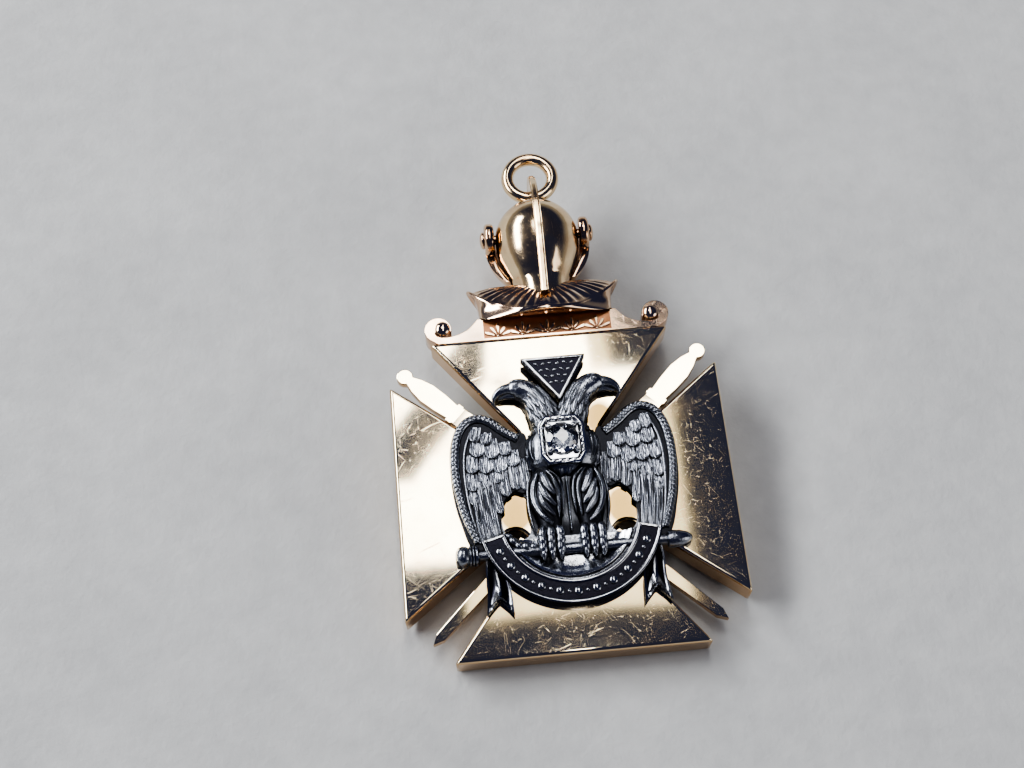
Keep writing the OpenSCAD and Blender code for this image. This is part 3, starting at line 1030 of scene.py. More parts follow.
@dataclass(frozen=True)
class PaleFloor(Finish):
    """Soft pale paper with faint clouds and fibres."""

    name: str = "pale floor"
    colour: Triple = (0.615, 0.62, 0.61)
    shade: Triple = (0.515, 0.52, 0.515)
    cloud_scale: float = 60.0
    mottle_scale: float = 420.0
    tooth_scale: float = 1400.0
    tooth_depth: float = 6e-5

    def dress(self, graph: Graph, shader: Node) -> None:
        """Two sizes of cloud, and a fine tooth."""
        at = graph.node("TexCoord").outputs["Object"]
        clouds = graph.noise(at, self.cloud_scale, detail=3.0)
        mottle = graph.noise(at, self.mottle_scale, detail=4.0)
        both = graph.math("ADD", graph.math("MULTIPLY", clouds, 0.55), graph.math("MULTIPLY", mottle, 0.45))
        graph.put(shader.inputs["Base Color"],
                  graph.blend(graph.ranged(both, 0.35, 0.65), (*self.shade, 1), (*self.colour, 1)))
        shader.inputs["Roughness"].default_value = 0.85
        shader.inputs["Specular IOR Level"].default_value = 0.25
        tooth = graph.math("ADD", graph.noise(at, self.tooth_scale, detail=4.0), mottle)
        graph.put(shader.inputs["Normal"], graph.bump(tooth, self.tooth_depth))


# Its pockets paint shade on the gold seen beside the legs and beside the right neck
POLISHED = Gold(pockets=((-4.7, -2.0, 1.8, 2.2), (4.9, -2.2, 1.8, 2.2), (3.7, 6.2, 1.5, 1.9)))
WALLED = Gold(name="helmet gold", colour=(0.88, 0.68, 0.42), worn=(0.70, 0.48, 0.28),
              polish=0.12, dull=0.22, wave_depth=3e-5, scratch_rough=0.12, wall=0.0)
VISOR = Gold(name="visor gold", colour=(0.80, 0.56, 0.36), worn=(0.62, 0.38, 0.22),
             polish=0.09, dull=0.16, wave_depth=3e-5, scratch_rough=0.12, shade=0.8, wall=0.0)
ROSE = Gold(name="rose gold", slot=Slot.ROSE_GOLD, colour=(0.86, 0.66, 0.48), worn=(0.72, 0.48, 0.32),
            polish=0.08, dull=0.16, wave_depth=4e-5, scratch_rough=0.12, wall=0.4)
# The crest field's colour: a copper tone, darkened as painted shade and painted reflection of the collar
# that overhangs it
SHADED_FIELD = Gold(name="chiselled copper", slot=Slot.ROSE_GOLD, colour=(0.32, 0.15, 0.08),
                 worn=(0.24, 0.11, 0.055), polish=0.3, dull=0.4, wave_depth=4e-5,
                 scratch_rough=0.1, wall=0.0)
OXIDISED = Oxidised()
RUBBED = Oxidised(name="rubbed silver", bright=(0.66, 0.68, 0.72), shade_reach=0.25, polish=0.16,
                  dull=0.3, barb_depth=0.0, grain_depth=6e-6, bright_share=1.0)
BLACKENED = Oxidised(name="blackened silver", slot=Slot.BLACK_SILVER, bright=(0.62, 0.64, 0.68),
                     dark=(0.008, 0.008, 0.012), polish=0.12, dull=0.25, barb_depth=0.0, grain_depth=4e-6)
BRIGHT_CUT = Oxidised(name="bright-cut silver", slot=Slot.BRIGHT_SILVER, bright=(0.86, 0.88, 0.92),
                      dark=(0.05, 0.052, 0.06), shade_reach=0.4, polish=0.08, dull=0.3, barb_depth=0.0,
                      grain_depth=2e-6, bright_share=1.0)
STONE = Brilliant()
FLOOR = PaleFloor()


@dataclass
class Assembly:
    """A sub-assembly: it draws its meshes and makes pieces of them."""

    pieces: list[Object] = field(default_factory=list, init=False)

    def piece(self, name: str, bm: BMesh, finish: Finish, node: str, body: Body = Body.ROOT,
              smooth: float = 35.0, flat_over: float = 3.0, hollow: float | None = None) -> Object:
        """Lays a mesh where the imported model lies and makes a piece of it.

        Args:
            name: The piece's name.
            bm: Its closed mesh, in the pendant's millimetres, which is freed.
            finish: Its finish.
            node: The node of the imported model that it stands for.
            body: The body that it rides on.
            smooth: Edges sharper than this many degrees stay sharp.
            flat_over: Flat faces larger than this many square millimetres are shaded flat.
            hollow: Points at or below this height count as hollows that stay dark.

        Returns:
            The piece's object.
        """
        mesh = bpy.data.meshes.new(name)
        flat = [f.calc_area() > flat_over for f in bm.faces]
        if hollow is not None:
            deep = bm.verts.layers.float.new(RECESS)
            for vert in bm.verts:
                vert[deep] = min(1.0, max(0.0, (hollow + RECESS_FADE - vert.co.z) / RECESS_FADE))
        bmesh.ops.transform(bm, matrix=LIE.matrix, verts=bm.verts[:])
        bm.to_mesh(mesh)
        bm.free()
        mesh.shade_smooth()
        mesh.set_sharp_from_angle(angle=math.radians(smooth))
        for polygon, is_flat in zip(mesh.polygons, flat):
            polygon.use_smooth = not is_flat
        mesh.materials.append(finish.material())
        made = bpy.data.objects.new(name, mesh)
        bpy.context.scene.collection.objects.link(made)
        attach(made, body.value)
        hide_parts(node)
        self.pieces.append(made)
        triangles = sum(len(p.vertices) - 2 for p in mesh.polygons)
        log.info("%s: %d triangles, %s", name, triangles, finish.name)
        return made

    def pair(self, name: str, draw: Callable[[], BMesh], finish: Finish, node: str, **looks: float) -> None:
        """Makes a piece of a mesh drawn on the right, and another of its mirror image.

        Args:
            name: The pieces' name, without their side.
            draw: Draws the right one.
            finish: Their finish.
            node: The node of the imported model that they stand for.
            looks: How they are shaded, as for a piece.
        """
        self.piece(f"{name}_right", draw(), finish, node, **looks)
        self.piece(f"{name}_left", flipped(draw()), finish, node, **looks)

    def build(self) -> None:
        """Draws and dresses the sub-assembly."""
        raise NotImplementedError


@dataclass
class CrossAndSwords(Assembly):
    """The thick four-armed cross, and the two flat swords that cross inside it."""

    arm_half: float = 11.07
    notch_r: float = 1.31
    notch_at: float = 4.95
    cross_edge: float = 0.34
    sword_angle: float = 46.0
    sword_t: float = 0.8
    sword_edge: float = 0.15
    sword_cross_y: float = -0.6
    crossing: Pair = (6.0, 2.2)
    pommel_at: float = 18.85
    pommel_r: float = 0.75
    sword_half: Pairs = ((18.2, 0.48), (17.4, 0.78), (16.2, 1.0), (14.6, 0.96), (13.25, 0.82),
                         (13.2, 1.02), (12.6, 1.02), (12.55, 0.9), (11.2, 0.98))
    blade_end: Pair = (-16.8, 0.44)
    bend_from: float = 11.2
    bent_from: float = 12.4
    # The left and the right grip: its rise along it and its lean across it
    grip_bends: Pairs = ((-0.027, 0.0), (0.0375, 0.0475))
    blade_tip: float = -17.75

    def cross_outline(self) -> list[Pair]:
        """The cross from the front: four flared arms with a round-ended notch between each two."""
        reach, at = LIE.arm_reach, self.notch_at
        away = (self.arm_half - at, reach - at)
        turn = math.degrees(math.atan2(away[1], away[0]) + math.acos(self.notch_r / math.hypot(*away)))
        notch = arc((at, at), self.notch_r, turn, 450 - turn, 20)
        quarter = [(self.arm_half, reach), *notch, (reach, self.arm_half)]
        outline: list[Pair] = []
        for k in range(4):
            spun = Matrix.Rotation(-math.pi / 2 * k, 2)
            outline += [tuple(spun @ Vector(p)) for p in quarter]
        return outline

    def sword_outline(self, extra: float) -> list[Pair]:
        """One sword from the front, lying along X with its pommel at the right.

        Args:
            extra: How much wider than the sword it is all round.

        Returns:
            The outline.
        """
        start = math.degrees(math.asin((self.sword_half[0][1] + extra) / (self.pommel_r + extra)))
        pommel = arc((self.pommel_at, 0.0), self.pommel_r + extra, start - 180, 180 - start, 28)
        upper = [(x, w + extra) for x, w in self.sword_half]
        tip = [(self.blade_end[0], self.blade_end[1] + extra), (self.blade_tip - extra, 0.0),
               (self.blade_end[0], -self.blade_end[1] - extra)]
        return pommel + upper + tip + [(x, -w) for x, w in reversed(upper)]

    def on_sword(self, bm: BMesh, side: int) -> BMesh:
        """Turns a shape drawn along X onto a sword, the right one for side 1 and the left one for -1."""
        turned = Matrix.Rotation(math.radians(90 - side * self.sword_angle), 4, "Z")
        placed = Matrix.Translation((0, self.sword_cross_y, 0)) @ turned
        bmesh.ops.transform(bm, matrix=placed, verts=bm.verts[:])
        return bm

    def sword(self, side: int) -> BMesh:
        """One sword, halved where the other one crosses it."""
        blade = slab(self.sword_outline(0.0), -self.sword_t / 2, self.sword_t / 2, self.sword_edge, 2)
        for x in (self.bend_from, self.bent_from):
            bmesh.ops.bisect_plane(blade, geom=blade.verts[:] + blade.edges[:] + blade.faces[:],
                                   plane_co=(x, 0, 0), plane_no=(1, 0, 0))
        rise, lean = self.grip_bends[side > 0]
        for vert in blade.verts:
            bent = min(1.0, max(0.0, (vert.co.x - self.bend_from) / (self.bent_from - self.bend_from)))
            vert.co.z += bent * (rise * (vert.co.x - self.bent_from) - lean * vert.co.y)
        self.on_sword(blade, side)
        half = block((0, 0, side * (self.sword_t / 2 - SEAT_GAP / 2)), (*self.crossing, self.sword_t))
        return cut(blade, self.on_sword(half, -side), Cut.REMOVE)

    def cross(self) -> BMesh:
        """The cross, with the slot that the swords lie in."""
        solid = slab(self.cross_outline(), -FRONT, FRONT, self.cross_edge, 4)
        reach = self.sword_t / 2 + SEAT_GAP
        for side in (-1, 1):
            slot = self.on_sword(slab(self.sword_outline(SEAT_GAP), -reach, reach), side)
            solid = cut(solid, slot, Cut.REMOVE)
        return outward(solid)

    def build(self) -> None:
        """The cross first, and then the swords."""
        self.piece("cross_body", self.cross(), POLISHED, "cross", smooth=30)
        for side, name in ((-1, "sword_left"), (1, "sword_right")):
            self.piece(name + "_blade", self.sword(side), POLISHED, name, smooth=30, flat_over=0.6)


@dataclass
class Crest(Assembly):
    """The scroll plate on the top arm, with a curled volute at each end and chiselled flowers."""

    half_t: float = 1.2
    foot: float = 15.03
    top: float = 17.3
    edge: float = 0.14
    curl: Pair = (10.15, 16.52)
    curl_r: float = 1.25
    ball: Pair = (9.72, 16.62)
    ball_r: float = 0.6
    dome_r: float = 0.74
    rise: Pairs = ((8.95, 15.74), (8.2, 15.92), (7.35, 16.35), (6.75, 16.95), (6.45, 17.3))
    slit: Pairs = ((10.38, 16.36), (10.45, 16.16), (10.3, 15.9), (9.9, 15.72), (9.4, 15.68))
    field_half: float = 5.95
    flower_step: float = 2.3
    petal: float = 1.45
    petal_turns: tuple[int, ...] = (-68, -34, 0, 34, 68)
    # A petal's outline: across, and along as a share of its length
    petal_form: Pairs = ((0.0, 0.12), (0.1, 0.4), (0.17, 0.7), (0.12, 0.88), (0.0, 1.0), (-0.12, 0.88),
                         (-0.17, 0.7), (-0.1, 0.4))
    sunk: float = 0.16

    def half_outline(self) -> list[Pair]:
        """The right half: along the foot, round the curl and its ball, and along the slit to the top."""
        around = arc(self.curl, self.curl_r, -62, 196, 34)
        under = arc(self.ball, self.ball_r, 196, 322, 14)
        start, end = [(0.0, self.foot), (10.2, self.foot)], [(0.0, self.top)]
        return [*start, *around, *under, *self.slit, *open_curve(self.rise, 3), *end]

    def flower(self, x: float) -> BMesh:
        """One chiselled flower: a fan of flat petals that stand in the sunk field.

        Args:
            x: Where it stands on the plate.

        Returns:
            Its petals and its heart.
        """
        made, floor = bmesh.new(), self.half_t - self.sunk
        for k, turn in enumerate(self.petal_turns):
            length = self.petal * (1.0 if k % 2 == 0 else 0.86)
            spun = Matrix.Rotation(math.radians(-turn), 2)
            outline = [Vector((x, self.foot + 0.36)) + spun @ Vector((across, up * length))
                       for across, up in self.petal_form]
            add(made, slab(outline, floor - 0.06, self.half_t - 0.01, 0.05, 2))
        return add(made, bead((x, self.foot + 0.4, floor), (0.2, 0.2, 0.2), 0, 12))

    def field_outline(self, inside: float) -> list[Pair]:
        """The sunk field, drawn in by an amount all round but at the top."""
        half, low = self.field_half - inside, self.foot + 0.22 + inside
        return [(-half, low), (half, low), (half, self.top - inside), (-half, self.top - inside)]

    def plate(self) -> BMesh:
        """The plate with its sunk field and the domes of its volutes."""
        half = self.half_outline()
        outline = half + mirrored(half)
        apart = [p for i, p in enumerate(outline) if i == 0 or math.dist(p, outline[i - 1]) > 1e-4]
        solid = slab(apart, -self.half_t, self.half_t, self.edge, 3)
        open_top = [(x, y + (1.0 if y > 17 else 0.0)) for x, y in self.field_outline(0.0)]
        sunk = slab(open_top, self.half_t - self.sunk, self.half_t + 1)
        solid = outward(cut(solid, sunk, Cut.REMOVE))
        for side in (-1, 1):
            spot = (side * self.ball[0], self.ball[1], self.half_t - 0.12)
            add(solid, bead(spot, (self.dome_r, self.dome_r, self.dome_r * 0.62), 0, 28))
        return solid

    def build(self) -> None:
        """The plate, the floor of its field in a dark copper brown with the collar's shade and reflection
        painted in, and the flowers on it.
        """
        self.piece("crest_scroll", self.plate(), ROSE, "crest_plate", smooth=30)
        floor = self.half_t - self.sunk
        field = slab(self.field_outline(0.01), floor - 0.05, floor + 0.012)
        # The field's darkness is painted shade and reflection of the collar
        self.piece("crest_field", field, SHADED_FIELD, "crest_plate")
        flowers = bmesh.new()
        for i in range(-2, 3):
            add(flowers, self.flower(i * self.flower_step))
        self.piece("crest_flowers", flowers, ROSE, "crest_plate", smooth=30, flat_over=0.02)


@dataclass
class Gorget(Assembly):
    """The lobed collar under the helmet, with fan cuts on top and a hollow moulding below."""

    steps: int = 240
    flutes: int = 46
    flute_depth: float = 0.24
    rim_half: float = 7.15
    rim_deep: float = 3.4
    rim_low: float = 16.75
    rim_rise: float = 3.95
    notch_at: float = 0.62
    notch_wide: float = 0.15
    neck_r: float = 2.65
    seat_low: float = 18.75
    seat_rise: float = 2.05
    foot: float = 17.33
    socket: float = 18.30
    foot_half: Pair = (6.2, 1.27)
    foot_corner: float = 0.19
    # The rings from the foot to the seat, as ring() takes them
    rows: tuple[tuple[str, float, float, float], ...] = (
        ("low", 0.0, 0.0, 0.0), ("low", 0.04, 0.22, 0.0), ("low", 0.1, 0.42, 0.0),
        ("low", 0.2, 0.62, -0.04), ("low", 0.38, 0.79, -0.08), ("low", 0.64, 0.91, -0.12),
        ("low", 0.9, 0.97, -0.16), ("rim", 0.0, 0.0, -0.1), ("rim", -0.016, 0.0, 0.0),
        ("rim", -0.014, 0.0, 0.08), ("rim", 0.0, 0.0, 0.14), ("rim", 0.025, 0.0, 0.15),
        ("rim", 0.045, 0.0, 0.09), ("rim", 0.056, 0.0, -0.08), ("fan", 0.1, 0.1, -0.14),
        ("fan", 0.2, 0.8, -0.02), ("fan", 0.4, 1.0, 0.1), ("fan", 0.6, 1.0, 0.12),
        ("fan", 0.8, 0.9, 0.08), ("fan", 0.96, 0.6, 0.0), ("seat", 1.0, 0.0, 0.0),
        ("socket", 1.0, 0.0, 0.0))

    def rim(self, a: float) -> Vector:
        """A point of the rim: a boat with a pointed lobe at each side and a round lobe front and back."""
        c, s = math.cos(a), math.sin(a)
        notch = math.exp(-(((abs(c) - self.notch_at) / self.notch_wide) ** 2)) if s > 0 else 0.0
        z = (self.rim_deep + 0.4 * abs(s) ** 6) * s * (1 - 0.36 * abs(c) ** 1.8) * (1 - 0.14 * notch)
        return Vector((self.rim_half * c, self.rim_low + self.rim_rise * abs(c) ** 2.6 + 0.3 * notch, z))

    def low(self, a: float) -> Vector:
        """A point of the foot, a long rounded box on the plate's top edge."""
        c, s = math.cos(a), math.sin(a)
        side = abs(c) > self.foot_corner
        x = self.foot_half[0] * (math.copysign(1, c) if side else c / self.foot_corner)
        z = self.foot_half[1] * (s / math.sin(math.acos(self.foot_corner)) if side else math.copysign(1, s))
        return Vector((x, self.foot, z))

    def seat(self, a: float) -> Vector:
        """A point of the seam round the helmet's neck."""
        c, s = math.cos(a), math.sin(a)
        return Vector((self.neck_r * c, self.seat_low + self.seat_rise * abs(c) ** 1.3, self.neck_r * s))

    def ring(self, kind: str, share: float, more: float, lift: float) -> Points:
        """One ring of the collar.

        Args:
            kind: What it follows: the foot, the rim, the fan on top, the seat or its socket.
            share: The share of the way from the foot to the rim, or from the rim to the seat.
            more: The share of the way up, or of the flutes' depth.
            lift: How far it is lifted.

        Returns:
            Its points.
        """
        points = []
        for i in range(self.steps):
            a = math.tau * i / self.steps
            rim, seat, low = self.rim(a), self.seat(a), self.low(a)
            if kind == "low":
                p = Vector((mix(low.x, rim.x, share), mix(low.y, rim.y, more) + lift,
                            mix(low.z, rim.z, share)))
            elif kind == "socket":
                p = Vector((seat.x, self.socket, seat.z))
            else:
                p = rim.lerp(seat, share) + Vector((0, lift, 0))
            if kind == "fan":
                wave = abs(math.sin(a * self.flutes / 2))
                p.y += self.flute_depth * more * (wave ** 0.8 - 0.6)
            points.append(tuple(p))
        return points

    def build(self) -> None:
        """The one collar."""
        collar = loft([self.ring(*row) for row in self.rows])
        self.piece("gorget_collar", collar, ROSE, "gorget", smooth=40)


@dataclass
class Helmet(Assembly):
    """The turned skull piece with its comb, the hinged visor on its two rivets, and the ring."""

    skull_r: float = 4.0
    skull_y: float = 25.8
    neck: Pairs = ((4.0, 25.8), (3.93, 24.9), (3.7, 23.7), (3.2, 22.4), (2.72, 21.4), (2.5, 20.6),
                   (2.62, 18.33))
    face_y: float = 24.7
    face_side: float = 4.2
    face_depth: float = 0.55
    comb_half: float = 0.34
    land: float = 0.15
    comb_outer: Pairs = ((-1.55, 30.2), (-1.45, 31.2), (-0.6, 32.2), (0.7, 32.35), (2.2, 31.7),
                         (3.7, 30.2), (4.85, 28.1), (5.2, 25.9), (4.85, 23.6), (4.25, 21.4),
                         (3.65, 19.6), (3.35, 18.7))
    comb_inner: Pairs = ((2.3, 19.1), (2.0, 21.0), (2.5, 23.0), (3.0, 26.0), (1.5, 28.5), (-1.0, 28.9))
    eye_y: float = 30.5
    eye_r: float = 0.75
    rivet_y: float = 26.2
    rivet_r: float = 0.45
    ear: Pairs = ((0.4, 4.08), (1.32, 4.08), (1.5, 4.15), (1.6, 4.34), (1.6, 4.7), (1.52, 4.88),
                  (1.36, 4.98), (1.1, 5.03), (0.4, 5.04))
    visor_top: float = 16.0
    visor_low: float = 21.6
    hollow: Pairs = ((4.05, 28.0), (4.14, 27.2), (4.2, 26.4), (4.18, 25.2), (3.94, 23.7), (3.46, 22.6),
                     (2.88, 21.5))
    # On one side of the face: x, y, width, height, for the sight and for four breathing slits
    slots: Rows = ((1.7, 26.72, 2.5, 0.45), (1.28, 23.65, 0.26, 1.5), (1.9, 23.87, 0.26, 1.5),
                   (2.52, 24.09, 0.26, 1.5), (3.14, 24.31, 0.26, 1.5))
    head_r: float = 0.82
    head_t: float = 0.42

    def across(self, outline: Points, half: float) -> BMesh:
        """A plate drawn in a (z, y) plane, with its thickness across X."""
        plate = slab(outline, -half, half)
        bmesh.ops.transform(plate, matrix=Matrix.Rotation(-math.pi / 2, 4, "Y"), verts=plate.verts[:])
        return plate

    def pin(self, radius: float, start: float, end: float) -> BMesh:
        """A round bar along the rivets' axis."""
        profile = [(0, start), (radius, start), (radius, end), (0, end)]
        return lathe(profile, Axis.X, (0, self.rivet_y, 0), 48)

    def skull(self) -> BMesh:
        """The skull piece and neck with the comb on them."""
        turns = [math.radians(3.75 * k) for k in range(24)]
        crown = [(self.skull_r * math.sin(a), self.skull_y + self.skull_r * math.cos(a)) for a in turns]
        profile = crown + open_curve(self.neck, 6) + [(0.0, self.neck[-1][1])]
        solid = lathe(profile, Axis.Y, steps=128)
        outer = [(p.z, p.y) for p, _ in self.comb_edge(0.12)]
        comb = self.across([*outer, *self.comb_inner], self.comb_half - 0.01)
        eye = lathe([(0, -2), (self.eye_r, -2), (self.eye_r, 2), (0, 2)], Axis.X, (0, self.eye_y, 0), 48)
        solid = cut(solid, cut(comb, eye, Cut.REMOVE), Cut.JOIN)
        for side in (-1, 1):
            bore = self.pin(self.rivet_r + SEAT_GAP, side * 2.4, side * FAR)
            solid = cut(solid, bore, Cut.REMOVE)
        reach = self.face_side
        face = block((0, self.face_y, self.face_depth - self.skull_r - 2.0), (reach, reach, 4.0))
        return add(outward(cut(solid, face, Cut.REMOVE)), self.rail())

    def comb_edge(self, inset: float) -> list[tuple[Vector, Vector]]:
        """The comb's edge, drawn in by an amount: its points, each with the direction outwards."""
        curve = open_curve(self.comb_outer, 8)
        found = []
        for i, (z, y) in enumerate(p[:2] for p in curve):
            back, ahead = curve[max(0, i - 1)], curve[min(i + 1, len(curve) - 1)]
            out = Vector((0, ahead[0] - back[0], back[1] - ahead[1])).normalized()
            found.append((Vector((0, y, z)) - out * inset, out))
        return found

    def rail(self) -> BMesh:
        """The comb's edge, with a flat land between two chamfers on each side."""
        half = ((self.land, 0.0), (self.land + 0.1, 0.06), (self.comb_half, 0.22), (self.comb_half, 0.5))
        profile = [*half, *((-x, deep) for x, deep in reversed(half))]
        return loft([[tuple(p - out * deep + Vector((x, 0, 0))) for x, deep in profile]
                     for p, out in self.comb_edge(0.0)])

    def visor(self) -> BMesh:
        """The round face guard: a turned shell cut to its side view, with its ears, slots and bores."""
        turns = [math.radians(a) for a in range(30, 141, 3)]
        ball = [(LIE.visor_r * math.sin(a), LIE.visor_y + LIE.visor_r * math.cos(a)) for a in turns]
        shell = lathe(ball + open_curve(self.hollow, 6)[::-1] + [ball[0]], Axis.Y, steps=160)
        rise = math.tan(math.radians(self.visor_top))
        # The side view: the front is cut back along a slant, so that the edge catches less light
        view = [(-7.0, self.visor_low), (-0.02, self.visor_low), (-0.62, self.rivet_y + 0.62 * rise),
                (-7.0, self.rivet_y + 7 * rise)]
        solid = outward(cut(shell, self.across(view, 6.0), Cut.KEEP))
        round_edges(solid, sharp_edges(solid, 50), 0.12)
        for side in (-1, 1):
            ear = lathe((*self.ear, self.ear[0]), Axis.X, (0, self.rivet_y, 0), 64)
            solid = cut(solid, outward(flipped(ear) if side < 0 else ear), Cut.JOIN)
        solid = cut(solid, self.pin(self.rivet_r + 2 * SEAT_GAP, -FAR, FAR), Cut.REMOVE)
        for side in (-1, 1):
            for x, y, wide, high in self.slots:
                tool = block((side * x, y, -4.5), (wide, high, 7.0))
                deep = [e for e in tool.edges if abs((e.verts[0].co - e.verts[1].co).z) > 1]
                solid = cut(solid, round_edges(tool, deep, min(wide, high) * 0.45), Cut.REMOVE)
        return outward(solid)

    def rivet(self, side: int) -> BMesh:
        """A rivet with a domed head, stepped where it was turned."""
        seat = LIE.visor_r + SEAT_GAP / 2
        turns = [math.radians(a) for a in range(0, 91, 9)]
        dome = [(self.head_r * math.cos(a), seat + 0.1 + (self.head_t - 0.1) * math.sin(a)) for a in turns]
        profile = [(0, 2.5), (self.rivet_r, 2.5), (self.rivet_r, seat), (self.head_r - 0.04, seat),
                   (self.head_r, seat + 0.04), *dome[:-1], (0.0, dome[-1][1])]
        solid = lathe(profile, Axis.X, (0, self.rivet_y, 0), 48)
        return flipped(solid) if side < 0 else solid

    def build(self) -> None:
        """Skull, visor, rivets and ring."""
        self.piece("helmet_skull", self.skull(), WALLED, "helmet", smooth=18, flat_over=1.5)
        self.piece("visor_guard", self.visor(), VISOR, "visor", Body.VISOR, smooth=35)
        for side, name in ((-1, "rivet_left"), (1, "rivet_right")):
            self.piece(name + "_head", self.rivet(side), VISOR, name)
        ring = torus(LIE.ring_r, LIE.wire_r, Axis.Z, (0, LIE.ring_y, 0))
        self.piece("ring_wire", ring, WALLED, "ring")


@dataclass
class Eagle(Assembly):
    """The cast double-headed eagle. Its right half is drawn and mirrored."""

    back: float = 1.49
    bed: float = 2.05
    web_top: float = 1.75
    web_r: float = 6.4
    wing_side: Pairs = (
        (3.1, 4.9), (4.25, 5.3), (5.7, 6.7), (7.1, 7.35), (8.4, 7.1), (9.35, 6.1), (9.95, 4.3),
        (10.1, 2.1), (9.95, -0.4), (9.5, -2.6), (8.75, -4.9), (7.2, -5.9), (5.5, -5.4), (5.95, -4.1),
        (6.0, -2.7), (5.6, -1.2), (4.7, -0.3), (3.7, -0.5), (3.2, 1.0))
    wing_rope: Pairs = (
        (3.9, 4.65), (5.2, 5.55), (6.3, 6.5), (7.35, 6.9), (8.45, 6.5), (9.15, 5.45), (9.5, 4.2),
        (9.65, 2.6), (9.6, 1.0), (9.35, -0.7), (9.05, -2.1), (8.6, -3.5), (8.15, -4.7))
    rope_grains: int = 42
    # Broad scale feathers, upper rows last: root x, root y, tip x, tip y, half width
    scales: Rows = (
        (8.2, 0.4, 8.12, -1.35, 0.5),
        (7.15, 1.9, 7.05, 0.1, 0.62), (8.25, 1.9, 8.2, -0.05, 0.55), (6.15, 2.1, 6.05, 0.5, 0.6),
        (4.5, 3.6, 4.5, 1.95, 0.62), (5.7, 3.4, 5.7, 1.45, 0.64), (6.9, 3.4, 6.95, 1.5, 0.64),
        (8.1, 3.4, 8.15, 1.6, 0.56),
        (5.15, 4.4, 5.1, 3.05, 0.6), (6.3, 4.8, 6.3, 2.85, 0.64), (7.5, 5.0, 7.65, 3.1, 0.66),
        (6.6, 5.4, 6.8, 4.2, 0.5), (7.5, 6.0, 7.75, 4.55, 0.5))
    # Long feathers: root x, root y, tip x, tip y, half width
    quills: Rows = (
        (3.7, 2.7, 3.5, -0.35, 0.46), (4.6, 2.6, 4.35, -0.2, 0.47), (5.5, 2.2, 5.25, -0.75, 0.46),
        (6.3, 1.5, 5.98, -2.3, 0.43), (6.95, 1.0, 6.4, -4.6, 0.38), (7.55, 0.8, 7.05, -4.9, 0.36),
        (8.1, -0.6, 7.6, -5.0, 0.32))
    shaft_line: Rows = (
        (8.0, 5.6, 2.12, 0.13, 0.16), (8.62, 4.0, 2.15, 0.14, 0.2), (8.85, 2.0, 2.15, 0.14, 0.2),
        (8.75, -0.4, 2.15, 0.14, 0.2), (8.45, -2.6, 2.15, 0.13, 0.2), (7.95, -4.8, 2.15, 0.12, 0.18))
    neck: Rows = (
        (0.55, 4.9, 1.9, 1.5, 1.1), (1.15, 6.2, 2.05, 1.42, 1.2), (1.55, 7.3, 2.15, 1.22, 1.15),
        (2.05, 8.3, 2.2, 1.12, 1.05), (2.7, 9.05, 2.25, 1.08, 1.0), (3.5, 9.38, 2.3, 0.98, 0.9),
        (4.15, 9.4, 2.3, 0.66, 0.66), (4.5, 9.38, 2.3, 0.3, 0.3))
    beak: Rows = (
        (3.85, 9.4, 2.4, 0.62, 0.58), (4.55, 9.36, 2.42, 0.5, 0.5), (5.15, 9.16, 2.36, 0.4, 0.42),
        (5.58, 8.78, 2.26, 0.27, 0.3), (5.7, 8.38, 2.16, 0.13, 0.16), (5.66, 8.2, 2.12, 0.03, 0.04))
    jaw: Rows = (
        (3.8, 8.85, 2.2, 0.4, 0.4), (4.5, 8.82, 2.18, 0.28, 0.3), (5.05, 8.66, 2.12, 0.16, 0.18),
        (5.3, 8.52, 2.1, 0.04, 0.05))
    thigh: Rows = (
        (1.6, 1.3, 1.9, 1.0, 1.0), (1.7, 0.5, 2.0, 1.4, 1.25), (1.78, -0.6, 2.1, 1.5, 1.35),
        (1.8, -1.9, 2.1, 1.42, 1.3), (1.8, -3.1, 2.05, 1.15, 1.1), (1.82, -4.5, 2.0, 0.85, 0.85))
    # Bold feathers on the thigh: points x, y, and the half width
    stripes: tuple[tuple[Pairs, float], ...] = (
        (((1.5, 0.95), (0.78, 0.2), (0.5, -1.2), (0.62, -2.9)), 0.14),
        (((1.7, 0.9), (1.15, 0.0), (0.9, -1.3), (1.0, -3.3)), 0.16),
        (((2.5, -1.1), (2.15, -2.2), (1.35, -3.2)), 0.22),
        (((2.45, -0.2), (1.95, -1.5), (1.2, -2.35)), 0.25),
        (((2.15, 0.75), (1.75, -0.5), (1.2, -1.4)), 0.27),
        (((2.55, 0.75), (3.0, -0.7), (2.92, -2.0), (2.35, -3.2), (1.6, -3.9)), 0.24))
    trailing: Rows = (
        (3.3, 0.6, 2.05, 0.12, 0.3), (3.5, -0.8, 2.15, 0.16, 0.36), (3.5, -2.3, 2.15, 0.16, 0.36),
        (3.28, -3.6, 2.05, 0.13, 0.3), (3.1, -4.4, 1.95, 0.08, 0.2))
    chest: Triple = (3.45, 3.0, 1.9)
    chest_at: Triple = (0.0, 3.35, 1.55)
    pod: Rows = ((2.45, 4.75, -0.02), (2.62, 3.9, 0.06), (2.66, 2.9, 0.08), (2.45, 1.85, 0.02))
    belly: Rows = ((0, 0.9, 1.7, 3.2, 0.7), (0, -1.2, 1.65, 3.3, 0.5), (0, -3.0, 1.6, 3.2, 0.4),
                   (0, -4.6, 1.5, 3.0, 0.3))
    tail_ridge: Rows = ((0, 0.5, 2.5, 0.12, 0.3), (0, -1.0, 2.6, 0.12, 0.3), (0, -3.0, 2.5, 0.11, 0.28),
                        (0, -4.4, 2.3, 0.08, 0.2))
    # Points down a small chest feather: how much further out, how far down, and its lift
    chest_feather: Rows = ((1.0, 0.0, -0.05), (1.03, 0.35, 0.03), (1.05, 0.7, 0.06))
    # Rows of them over and under the setting: their height, how many, and how far out they reach
    chest_rows: Rows = ((6.9, 3, 0.7), (6.55, 6, 1.5), (6.2, 5, 1.3), (1.2, 8, 2.4), (0.75, 7, 2.1))
